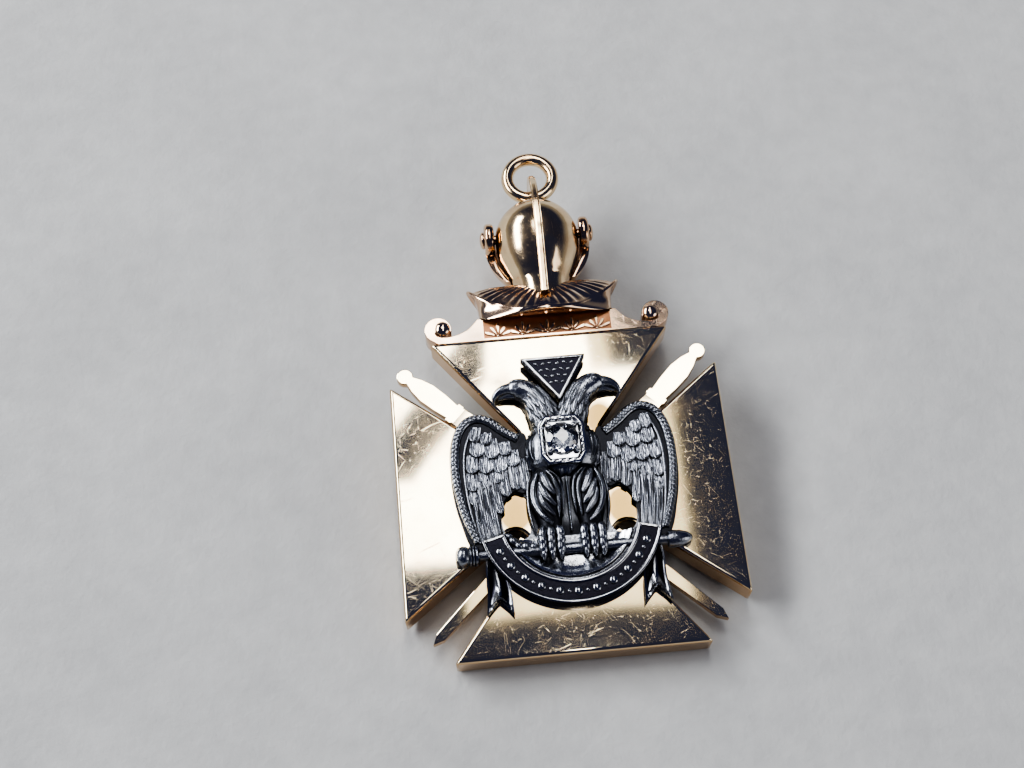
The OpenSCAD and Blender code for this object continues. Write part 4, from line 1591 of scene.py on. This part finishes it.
    # Eye, brow, cheek and nostril: their centre, their half sizes, and then their turn and sides
    features: tuple[tuple[Triple, Triple, int, int], ...] = (
        ((3.55, 9.55, 3.12), (0.22, 0.2, 0.16), 0, 14), ((3.5, 9.88, 2.98), (0.62, 0.17, 0.22), -8, 14),
        ((3.3, 9.2, 3.1), (0.5, 0.12, 0.12), -25, 12), ((4.45, 9.5, 2.82), (0.14, 0.1, 0.08), -10, 10))
    # Each toe's place across at its root and at its end
    toes: Pairs = ((1.02, 1.1), (1.85, 1.86), (2.62, 2.6))
    claw: Rows = ((-6.05, 2.6, 0.26, 0.26), (-6.4, 2.62, 0.23, 0.24), (-6.7, 2.45, 0.15, 0.16),
                  (-6.85, 2.1, 0.03, 0.04))
    opening: Pairs = ((3.55, -1.0), (4.6, -0.25), (5.6, -1.2), (5.95, -2.8), (5.6, -4.3), (4.6, -4.7),
                      (3.65, -4.3), (3.45, -2.6))
    bowl_form: Pairs = (
        (0, 1.6), (3.4, 1.62), (3.4, 1.84), (4.3, 1.9), (4.7, 2.02), (5.1, 2.24), (5.4, 2.46), (5.56, 2.52),
        (5.66, 2.46), (5.72, 2.3), (5.8, 2.34), (6.3, 2.4), (6.3, 1.55), (0, 1.55))

    def rooted(self, bm: BMesh) -> BMesh:
        """Presses what would lie below the relief's back up to it."""
        return pressed(bm, self.back)

    def wing(self) -> BMesh:
        """The right wing: a bed, a notched rope along its edge, broad scale feathers, and long quills."""
        bm = slab(closed_curve(self.wing_side, 6), self.back, self.bed, 0.1, 3)
        rope = open_curve(self.wing_rope, 6)
        add(bm, strand([(x, y, self.bed, 0.42, 0.36) for x, y in self.wing_rope], 16, 5))
        for k in range(self.rope_grains):
            t = (k + 0.5) / self.rope_grains
            here, ahead = along(rope, t), along(rope, min(1.0, t + 0.02))
            run = math.degrees(math.atan2(ahead.y - here.y, ahead.x - here.x))
            for side, turn in ((0.13, 62), (-0.13, 22)):
                spot = polar((here.x, here.y), side, run + 90)
                add(bm, bead((*spot, self.bed + 0.12), (0.3, 0.15, 0.36), run + turn, 10))
        for q, (x0, y0, x1, y1, half) in enumerate(self.quills):
            z = self.bed + 0.06 + 0.025 * q
            bend = 0.1 * math.sin(math.pi * q / len(self.quills))
            spine = [(x0, y0, z), (mix(x0, x1, 0.5) + bend, mix(y0, y1, 0.5), z + 0.05), (x1, y1, z + 0.03)]
            add(bm, leaf(spine, lance_width(half, 0.95, 0.9), LONG))
        for k, (x0, y0, x1, y1, half) in enumerate(self.scales):
            z = self.bed + 0.1 + 0.012 * k
            spine = [(x0, y0, z - 0.05), (mix(x0, x1, 0.5), mix(y0, y1, 0.5), z + 0.06), (x1, y1, z + 0.12)]
            add(bm, leaf(spine, scale_width(half, y0 - y1), SCALE))
        return self.rooted(add(bm, strand(self.shaft_line, 10, 4)))

    def on_form(self, rows: Points, t: float, side: float) -> Triple:
        """A point on the upper side of a strand.

        Args:
            rows: The strand's rows.
            t: The share of its length.
            side: How far across it lies, from -1 to 1.

        Returns:
            The point.
        """
        curve = open_curve(rows, 5)
        here = along(curve, t)
        run = Vector(heading(curve, t, 0.03)[:3]).normalized()
        across = UP.cross(run).normalized()
        high = run.cross(across) * here[4] * math.sqrt(max(0.0, 1 - side * side))
        return tuple(Vector(here[:3]) + across * here[3] * side + high)

    def clothed(self, rows: Points, plan: Points, half: float, quill: Quill) -> list[BMesh]:
        """Feathers that lie along a form.

        Args:
            rows: The form's rows.
            plan: For each feather its start and end along the form, and its place across it at both.
            half: Its half width.
            quill: How it is modelled.

        Returns:
            The feathers.
        """
        made = []
        for start, end, side0, side1 in plan:
            spine = [self.on_form(rows, mix(start, end, k / 4), mix(side0, side1, k / 4)) for k in range(5)]
            raised = [(x, y, z - 0.05 + 0.1 * k / 4) for k, (x, y, z) in enumerate(spine)]
            made.append(leaf(raised, lance_width(half, 0.7, 0.6), quill))
        return made

    def head(self) -> BMesh:
        """The right neck and head, with beak, brow, eye and neck feathers."""
        bm = strand(self.neck, 28, 5)
        add(bm, strand(self.beak, 18, 5), strand(self.jaw, 14, 4))
        add(bm, *(bead(*feature) for feature in self.features))
        plan = []
        for row, start in enumerate((0.62, 0.47, 0.32, 0.17)):
            offsets = (-0.72, -0.24, 0.24, 0.72) if row % 2 == 0 else (-0.9, -0.48, 0.0, 0.48, 0.9)
            plan += [(start, start - 0.26, s, s * 0.94) for s in offsets]
        return self.rooted(add(bm, *self.clothed(self.neck, plan, 0.3, NECK)))

    def on_chest(self, x: float, y: float) -> float:
        """The height of the chest over a point."""
        rx, ry, rz = self.chest
        fall = (x / rx) ** 2 + ((y - self.chest_at[1]) / ry) ** 2
        return self.chest_at[2] + rz * math.sqrt(max(0.02, 1 - fall))

    def breast(self) -> BMesh:
        """The barrel chest: a pod-shaped feather at each side of the setting and small ones round them."""
        bm = add(bead(self.chest_at, self.chest, 0, 56), strand(self.belly, 28, 4))
        for side in (-1, 1):
            pod = [(side * x, y, self.on_chest(x, y) + lift) for x, y, lift in self.pod]
            add(bm, leaf(pod, pod_width, POD))
            for k in range(8):
                y = 5.5 - 0.62 * k
                x = 3.12 * math.sqrt(max(0.1, 1 - ((y - 3.35) / 3.3) ** 2))
                spine = [(side * x, y, self.on_chest(x, y) - 0.04),
                         (side * x * 1.01, y - 0.4, self.on_chest(x, y - 0.4) + 0.03),
                         (side * x * 1.01, y - 0.85, self.on_chest(x, y - 0.8) + 0.05)]
                add(bm, leaf(spine, scale_width(0.24, 0.85), CHEST))
        for y, count, reach in self.chest_rows:
            for i in range(count):
                x = mix(-reach, reach, i / (count - 1))
                spine = [(x * out, y - down, self.on_chest(x, y - down) + lift)
                         for out, down, lift in self.chest_feather]
                add(bm, leaf(spine, scale_width(0.26, 0.7), CHEST))
        return self.rooted(add(bm, strand(self.tail_ridge, 12, 4)))

    def on_thigh(self, x: float, y: float) -> float:
        """The height of the right thigh over a point."""
        rows = open_curve(self.thigh, 5)
        row = min(rows, key=lambda r: abs(r[1] - y))
        off = min(0.97, abs(x - row[0]) / row[3])
        return row[2] + row[4] * math.sqrt(1 - off * off)

    def thigh_form(self) -> BMesh:
        """The plain right thigh, which stays dark between its feathers."""
        return self.rooted(strand(self.thigh, 32, 5))

    def leg(self) -> BMesh:
        """The right leg's bold curved feathers, and a foot with three jointed toes and claws."""
        bm = bmesh.new()
        for k, (points, half) in enumerate(self.stripes):
            curve = open_curve(points, 4)
            spine = [(x, y, self.on_thigh(x, y) + 0.12 + 0.03 * k) for x, y in curve[::2]]
            add(bm, leaf(spine, stripe_width(half), STRIPE))
        add(bm, strand(self.trailing, 14, 5))
        for x0, x1 in self.toes:
            root = 1.82 + (x0 - 1.82) * 0.7
            rows = [(root, -3.9, 2.3, 0.34, 0.4), (mix(root, x0, 0.6), -4.3, 2.6, 0.4, 0.44)]
            for k in range(6):
                size = 0.42 if k % 2 == 0 else 0.37
                rows.append((mix(x0, x1, k / 5), -4.65 - 0.3 * k, 2.75 - 0.01 * k * k, size, size * 0.95))
            rows.append((x1, -6.42, 2.2, 0.3, 0.3))
            add(bm, strand(rows, 16, 4), strand([(x1, *row) for row in self.claw], 12, 4))
        return self.rooted(bm)

    def openings(self) -> BMesh:
        """The two spaces beside the legs, as solids."""
        outline = closed_curve(self.opening, 6)
        return add(slab(outline, 0.5, FAR), flipped(slab(outline, 0.5, FAR)))

    def web(self, ribbon: "Ribbon") -> BMesh:
        """The plate behind the feet, with its openings."""
        disc = slab(arc((0, ribbon.y), self.web_r, 0, 352, 44), self.back, self.web_top)
        return outward(cut(disc, self.openings(), Cut.REMOVE))

    def bowl(self, ribbon: "Ribbon") -> BMesh:
        """The bowl that rises from the plate to the ribbon's inner edge."""
        bowl = lathe(self.bowl_form, Axis.Z, (0, ribbon.y, 0), 120)
        return outward(cut(bowl, block((0, -9.75, 2), (20, 10, 4)), Cut.KEEP))

    def build(self) -> None:
        """Two wings, two heads, the breast, two legs, and the web."""
        halves = (("wing", self.wing, self.bed), ("head", self.head, 1.9), ("leg", self.leg, 2.0),
                  ("thigh", self.thigh_form, FAR))
        for name, draw, hollow in halves:
            self.pair(f"eagle_{name}", draw, OXIDISED, "eagle", smooth=50, flat_over=5.0, hollow=hollow)
        self.piece("eagle_breast", self.breast(), OXIDISED, "eagle", smooth=50, hollow=1.9)
        self.piece("eagle_web", self.web(Ribbon()), OXIDISED, "eagle", smooth=40)
        self.piece("eagle_bowl", self.bowl(Ribbon()), RUBBED, "eagle", smooth=40)


@dataclass
class Dagger(Assembly):
    """The dagger under the feet, with a ringed grip end at the left and a rounded point at the right."""

    y: float = -5.9
    z: float = 2.1
    half: float = 0.47
    back: float = 1.49
    # The guard's knobs: x, y and half size
    knobs: Rows = ((-5.5, -4.5, 0.4), (-5.15, -4.95, 0.48), (-4.7, -5.4, 0.42), (-4.05, -5.55, 0.52),
                   (-3.4, -5.6, 0.42))
    profile: Pairs = (
        (0.0, -10.25), (0.45, -10.2), (0.8, -10.0), (0.96, -9.6), (0.9, -9.25), (0.78, -9.1), (0.78, -9.06),
        (0.92, -9.0), (0.94, -8.92), (0.92, -8.86), (0.8, -8.8), (0.92, -8.74), (0.94, -8.66), (0.92, -8.6),
        (0.8, -8.54), (0.9, -8.48), (0.92, -8.4), (0.9, -8.3), (0.7, -8.2), (0.47, -8.15), (0.47, 8.15),
        (0.74, 8.25), (0.78, 8.6), (0.72, 9.3), (0.56, 9.9), (0.3, 10.3), (0.0, 10.42))

    def room(self) -> BMesh:
        """The channel that the pieces around it leave for it."""
        reach = self.half + SEAT_GAP
        return lathe([(0, -FAR), (reach, -FAR), (reach, FAR), (0, FAR)], Axis.X, (0, self.y, self.z), 32)

    def build(self) -> None:
        """The turned dagger and its knobbed guard."""
        bm = lathe(self.profile, Axis.X, (0, self.y, self.z), 40)
        high = self.z + 0.2
        add(bm, strand([(x, y, high, 0.26, 0.26) for x, y, _ in self.knobs], 12, 4))
        for x, y, size in self.knobs:
            add(bm, bead((x, y, high), (size, size * 0.85, size * 0.9), -38, 16))
        pressed(bm, self.back)
        self.piece("dagger_bar", bm, OXIDISED, "dagger", smooth=40, hollow=1.6)


@dataclass
class Ribbon(Assembly):
    """The curved ribbon with its forked tails, and a row of large and small beads in its field."""

    y: float = -2.9
    outer: float = 8.1
    width: float = 2.15
    back: float = 1.49
    top: float = 2.75
    ends: float = -14.0
    rim: float = 0.34
    sunk: float = 0.12
    tail_top: float = 2.1
    # The right tail from its top down: y, and x of its two sides
    tail_rows: Rows = ((-5.6, 6.6, 7.55), (-7.3, 6.05, 7.75), (-8.8, 5.78, 7.72), (-9.9, 5.66, 7.8),
                       (-11.3, 5.62, 7.95))
    edge: float = 0.12
    beads: int = 11
    first_bead: float = -155.0
    bead_step: float = 13.0

    @property
    def mid(self) -> float:
        """The radius of the band's middle."""
        return self.outer - self.width / 2

    def section(self, turn: float, sunk: float) -> list[Triple]:
        """The band's section at an angle in degrees: two rounded rims with a sunk field between them."""
        inner, e, top = self.outer - self.width, self.edge, self.top
        rows = [(0.0, self.back), (0.0, top - 1.6 * e), (e * 0.35, top - 0.5 * e), (e * 1.2, top),
                (self.rim - e, top - 0.01), (self.rim - 0.03, top - 0.04 * sunk / self.sunk - 0.01),
                (self.rim + 0.05, top - sunk)]
        rows += [(self.width * (0.25 + 0.1 * k), top - sunk) for k in range(6)]
        rows += [(self.width - r, z) for r, z in reversed(rows[:7])]
        a = math.radians(turn)
        return [((inner + r) * math.cos(a), self.y + (inner + r) * math.sin(a), z) for r, z in rows]

    def band(self) -> BMesh:
        """The band with its raised border and a row of large and small beads."""
        lip = math.degrees(0.4 * self.rim / self.mid)
        first, last = -180 - self.ends, self.ends
        turns = [first, first + 0.3, first + lip, first + lip + 0.4]
        turns += [mix(first + lip + 1.2, last - lip - 1.2, k / 96) for k in range(97)]
        turns += [last - lip - 0.4, last - lip, last - 0.3, last]
        inside = range(3, len(turns) - 3)
        bm = loft([self.section(t, self.sunk if k in inside else 0.001) for k, t in enumerate(turns)])
        bm = outward(cut(bm, Dagger().room(), Cut.REMOVE))
        for k in range(2 * self.beads - 1):
            size, sides = ((0.2, 0.2, 0.18), 12) if k % 2 else ((0.4, 0.4, 0.22), 16)
            spot = polar((0.0, self.y), self.mid, self.first_bead + self.bead_step * k / 2)
            add(bm, bead((*spot, self.top - self.sunk), size, 0, sides))
        return bm

    def tail_place(self, down: float, across: float) -> Triple:
        """A point of the right tail's front."""
        y, left, right = along(open_curve(self.tail_rows, 6), down)
        fork = 1.35 * (1 - abs(across)) * max(0.0, (down - 0.45) / 0.55)
        rim = abs(across) > 0.72 or down > 0.93
        swell = 0.16 * math.cos(across * 4.5) * down
        curl = 0.42 * max(0.0, (down - 0.6) / 0.4) ** 1.5
        z = self.tail_top + (0.06 if rim else -0.05) + swell + curl
        return mix(left, right, (across + 1) / 2), y + fork, z

    def tail(self) -> BMesh:
        """The right tail, fluted and lifted towards its forked end."""
        return sheet(self.tail_place, 36, 19, self.back)

    def build(self) -> None:
        """The band with the dagger's room cut through it, and a tail at each side."""
        floor = self.top - self.sunk
        self.piece("ribbon_band", self.band(), BLACKENED, "ribbon", smooth=40, hollow=floor)
        self.pair("ribbon_tail", self.tail, BLACKENED, "ribbon", smooth=40, hollow=self.tail_top - 0.04)


@dataclass
class TrianglePlaque(Assembly):
    """The dark triangular plaque over the necks, with a raised rim and a field of small pellets."""

    corners: Pairs = ((-2.95, 12.1), (2.95, 12.1), (0.25, 7.75))
    low: float = 1.8
    high: float = 2.95
    edge: float = 0.07
    rim: float = 0.22
    sunk: float = 0.16
    first_row: float = 11.45
    row_step: float = 0.62
    pellet: Triple = (0.27, 0.13, 0.13)

    def build(self) -> None:
        """The one plaque."""
        bm = slab(self.corners[::-1], self.low, self.high, self.edge)
        floor = self.high - self.sunk
        sink_field(bm, self.high, self.rim - self.edge, self.sunk)
        for row in range(4):
            y = self.first_row - self.row_step * row
            for i in range(6 - row):
                x = 0.06 + 0.04 * row + (i - (5 - row) / 2) * 0.66 * (1 - 0.06 * row)
                add(bm, bead((x, y, floor), self.pellet, 35 if (i + row) % 2 else -35, 10))
        self.piece("triangle_plaque", bm, BLACKENED, "triangle", smooth=40, hollow=floor)


@dataclass
class StoneSetting(Assembly):
    """The bright-cut plate with its claws, and the round brilliant in it."""

    centre: Pair = (0.0, 3.65)
    half: Pair = (2.05, 2.3)
    low: float = 2.9
    high: float = 3.75
    # The plate's corners, as shares of its half sizes
    corners: Pairs = ((1, 0.62), (0.7, 1), (-0.7, 1), (-1, 0.62), (-1, -0.62), (-0.7, -1), (0.7, -1),
                      (1, -0.62))
    stone_r: float = 1.45
    stone_y: float = 3.75
    girdle_z: float = 3.85
    grain_step: float = 0.6
    # The stone's rings: radius as a share of its own, height over the girdle, corners, turn in degrees
    stone_rings: Rows = (
        (0.36, 0.43, 8, 22.5), (0.58, 0.39, 8, 0.0), (0.8, 0.25, 8, 22.5), (1.0, 0.03, 16, 11.25),
        (1.0, -0.03, 16, 11.25), (0.5, -0.49, 8, 0.0), (0.22, -0.74, 8, 22.5), (0.03, -0.88, 8, 0.0))

    def plate(self) -> BMesh:
        """The octagonal plate, cut down in facets to the stone's seat, with a row of grains on its rim."""
        outline = [(self.centre[0] + x * self.half[0], self.centre[1] + y * self.half[1])
                   for x, y in self.corners]
        bm = slab(outline, self.low, self.high, 0.12, 2)
        top = front_faces(bm, self.high)
        inset(bm, top, 0.16, 0.0)
        inset(bm, top, 0.3, 0.26)
        reach, deep = self.stone_r + SEAT_GAP, self.low + 0.06
        cone = lathe([(0, deep), (0.22, deep), (reach, self.girdle_z - 0.02), (reach, 6.0), (0, 6.0)],
                     Axis.Z, (0, self.stone_y, 0), 48)
        bm = outward(cut(bm, cone, Cut.REMOVE))
        middle = (0.0, self.stone_y)
        for k in range(4):
            turn = 45 + 90 * k
            foot, tip = polar(middle, self.stone_r + 0.2, turn), polar(middle, self.stone_r - 0.14, turn)
            bend = ((foot[0] + tip[0]) / 2, (foot[1] + tip[1]) / 2)
            claw = [(*foot, self.high - 0.3, 0.24, 0.24), (*foot, self.high + 0.1, 0.24, 0.24),
                    (*bend, self.high + 0.3, 0.22, 0.2), (*tip, self.high + 0.32, 0.1, 0.1)]
            add(bm, strand(claw, 14, 4))
        step = self.grain_step
        grains = [(side * (self.half[0] - step / 2), -2 * step + step * k, 0.2, 0.24)
                  for side in (-1, 1) for k in range(5)]
        grains += [(-1.5 * step + step * k, end * (self.half[1] - step / 2), 0.24, 0.2)
                   for end in (-1, 1) for k in range(4)]
        for x, y, wide, high in grains:
            add(bm, bead((x, self.centre[1] + y, self.high - 0.12), (wide, high, 0.2), 0, 12))
        return bm

    def brilliant(self) -> BMesh:
        """The stone, as the hull of its rings of corners."""
        bm = bmesh.new()
        for share, z, count, turn in self.stone_rings:
            spun = Matrix.Rotation(math.radians(turn), 4, "Z")
            bmesh.ops.create_circle(bm, cap_ends=False, radius=self.stone_r * share, segments=count,
                                    matrix=Matrix.Translation((0, self.stone_y, self.girdle_z + z)) @ spun)
        hull = bmesh.ops.convex_hull(bm, input=bm.verts[:], use_existing_faces=False)
        spare = hull["geom_interior"] + hull["geom_unused"]
        inside = [g for g in spare if isinstance(g, BMVert) and g.is_valid]
        bmesh.ops.delete(bm, geom=inside, context="VERTS")
        bmesh.ops.dissolve_limit(bm, angle_limit=math.radians(1), verts=bm.verts[:], edges=bm.edges[:])
        bmesh.ops.delete(bm, geom=[e for e in bm.edges if not e.link_faces], context="EDGES")
        return outward(bm)

    def build(self) -> None:
        """The plate and the stone."""
        self.piece("setting_plate", self.plate(), BRIGHT_CUT, "stone_setting", smooth=25)
        self.piece("brilliant_stone", self.brilliant(), STONE, "diamond", smooth=2)


@dataclass(frozen=True)
class Lamp:
    """A soft rectangular lamp that looks towards a point."""

    name: str
    place: Triple
    size: Pair
    brightness: float
    colour: Triple = (1.0, 1.0, 1.0)
    aim: Triple = (0.0, 0.0, 0.0)
    roll: float = 0.0

    def light(self) -> None:
        """Makes the lamp."""
        data = bpy.data.lights.new(self.name, "AREA")
        data.shape = "RECTANGLE"
        data.size, data.size_y = self.size
        data.energy = self.brightness * math.pi * self.size[0] * self.size[1]
        data.color = self.colour
        made = bpy.data.objects.new(self.name, data)
        made.location = self.place
        towards = Vector(self.aim) - Vector(self.place)
        rolled = Matrix.Rotation(math.radians(self.roll), 3, "Z")
        made.rotation_euler = (towards.to_track_quat("-Z", "Y").to_matrix() @ rolled).to_euler()
        bpy.context.scene.collection.objects.link(made)


CEILING = 0.40
WHITE = (1.0, 0.985, 0.96)
CREAM = (1.0, 0.98, 0.95)
AMBER = (1.0, 0.9, 0.64)


def overhead(name: str, x: float, y: float, size: Pair, brightness: float, colour: Triple = WHITE,
             roll: float = 0.0) -> Lamp:
    """A lamp at the ceiling's height that looks straight down."""
    return Lamp(name, (x, y, CEILING), size, brightness, colour, (x, y, 0.0), roll)


@dataclass
class Studio:
    """The floor, the lamps, the surroundings and the camera."""

    floor_half: float = 0.9
    horizon: Triple = (0.30, 0.295, 0.29)
    zenith: Triple = (0.022, 0.028, 0.07)
    lens: float = 54.07
    camera_place: Triple = (-9.274, -46.56, 129.393)
    camera_right: Triple = (0.99563, -0.09337, 0.00081)
    camera_up: Triple = (0.08493, 0.90912, 0.40778)
    camera_back: Triple = (-0.03882, -0.40593, 0.91308)
    lamps: tuple[Lamp, ...] = (
        overhead("ceiling right", 0.035, 0.100, (0.046, 0.076), 9.0),
        overhead("ceiling top", 0.0225, 0.155, (0.037, 0.034), 9.0),
        overhead("ceiling middle", -0.0049, 0.1101, (0.055, 0.021), 9.0, roll=52.0),
        overhead("ceiling left", -0.010, 0.086, (0.052, 0.028), 9.0),
        overhead("ceiling corner", -0.0218, 0.1646, (0.150, 0.0355), 9.0, (1.0, 0.99, 0.97), 52.0),
        overhead("warm edge", 0.063, 0.099, (0.010, 0.078), 1.9, AMBER),
        overhead("warm top", 0.045, 0.155, (0.008, 0.034), 1.9, AMBER),
        overhead("warm end", 0.028, 0.0605, (0.078, 0.021), 2.2, (1.0, 0.91, 0.68)),
        overhead("far strip", 0.028, 0.311, (0.024, 0.278), 9.0, CREAM),
        overhead("near strip", 0.026, -0.0375, (0.024, 0.135), 9.0, CREAM),
        Lamp("window", (-0.60, 0.27, 0.46), (0.80, 0.20), 18.0, (0.97, 0.98, 1.0)),
        Lamp("door", (0.60, -0.35, 0.30), (0.40, 0.40), 2.2, (1.0, 0.97, 0.93)),
    )

    def camera(self) -> None:
        """The camera, at the photograph's angle, from its place over the upright pendant."""
        data = bpy.data.cameras.new("camera")
        data.lens = self.lens
        data.sensor_width = 36.0
        data.clip_start = 0.005
        made = bpy.data.objects.new("camera", data)
        laid = LIE.matrix
        turned = Matrix.Rotation(LIE.tilt, 3, "X")
        axes = [turned @ Vector(a) for a in (self.camera_right, self.camera_up, self.camera_back)]
        basis = Matrix(axes).transposed().to_4x4()
        made.matrix_world = Matrix.Translation(laid @ Vector(self.camera_place)) @ basis
        bpy.context.scene.collection.objects.link(made)
        bpy.context.scene.camera = made

    def floor(self) -> None:
        """A wide sheet of pale paper."""
        bm = bmesh.new()
        bmesh.ops.create_grid(bm, x_segments=1, y_segments=1, size=self.floor_half)
        mesh = bpy.data.meshes.new("floor")
        bm.to_mesh(mesh)
        bm.free()
        mesh.materials.append(FLOOR.material())
        made = bpy.data.objects.new("floor", mesh)
        bpy.context.scene.collection.objects.link(made)
        made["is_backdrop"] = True

    def surroundings(self) -> None:
        """A room that is light near the horizon and dark blue overhead."""
        world = bpy.data.worlds.new("room")
        world.use_nodes = True
        world.node_tree.nodes.clear()
        graph = Graph(world.node_tree)
        way = graph.node("SeparateXYZ", {0: graph.node("TexCoord").outputs["Generated"]})
        rise = graph.ranged(way.outputs["Z"], 0.04, 0.32)
        colour = graph.blend(rise, (*self.horizon, 1), (*self.zenith, 1))
        shader = graph.node("Background", {"Color": colour, "Strength": 1.0})
        graph.node("OutputWorld", {"Surface": shader.outputs[0]})
        bpy.context.scene.world = world

    def build(self) -> None:
        """Camera, floor, lamps and surroundings."""
        self.camera()
        self.floor()
        self.surroundings()
        for lamp in self.lamps:
            lamp.light()
        bpy.context.scene.view_settings.view_transform = "AgX"
        bpy.context.scene.view_settings.look = "AgX - Medium High Contrast"
        bpy.context.scene.view_settings.exposure = 0.0


def corners(box: Sequence[Sequence[float]]) -> list[list[float]]:
    """A box's two corners as plain lists."""
    return [[float(value) for value in corner] for corner in box]


def main() -> None:
    """Builds the studio and every sub-assembly."""
    logging.basicConfig(level=logging.INFO, format="%(name)s: %(message)s")
    packed = corners(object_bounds())
    Studio().build()
    for assembly in (CrossAndSwords(), Crest(), Gorget(), Helmet(), Eagle(), Dagger(), Ribbon(),
                     TrianglePlaque(), StoneSetting()):
        assembly.build()
        log.info("%s has %d pieces", type(assembly).__name__, len(assembly.pieces))
    bpy.context.view_layer.update()
    {"cad": packed, "visual": corners(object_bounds())}


if __name__ == "__main__":
    main()
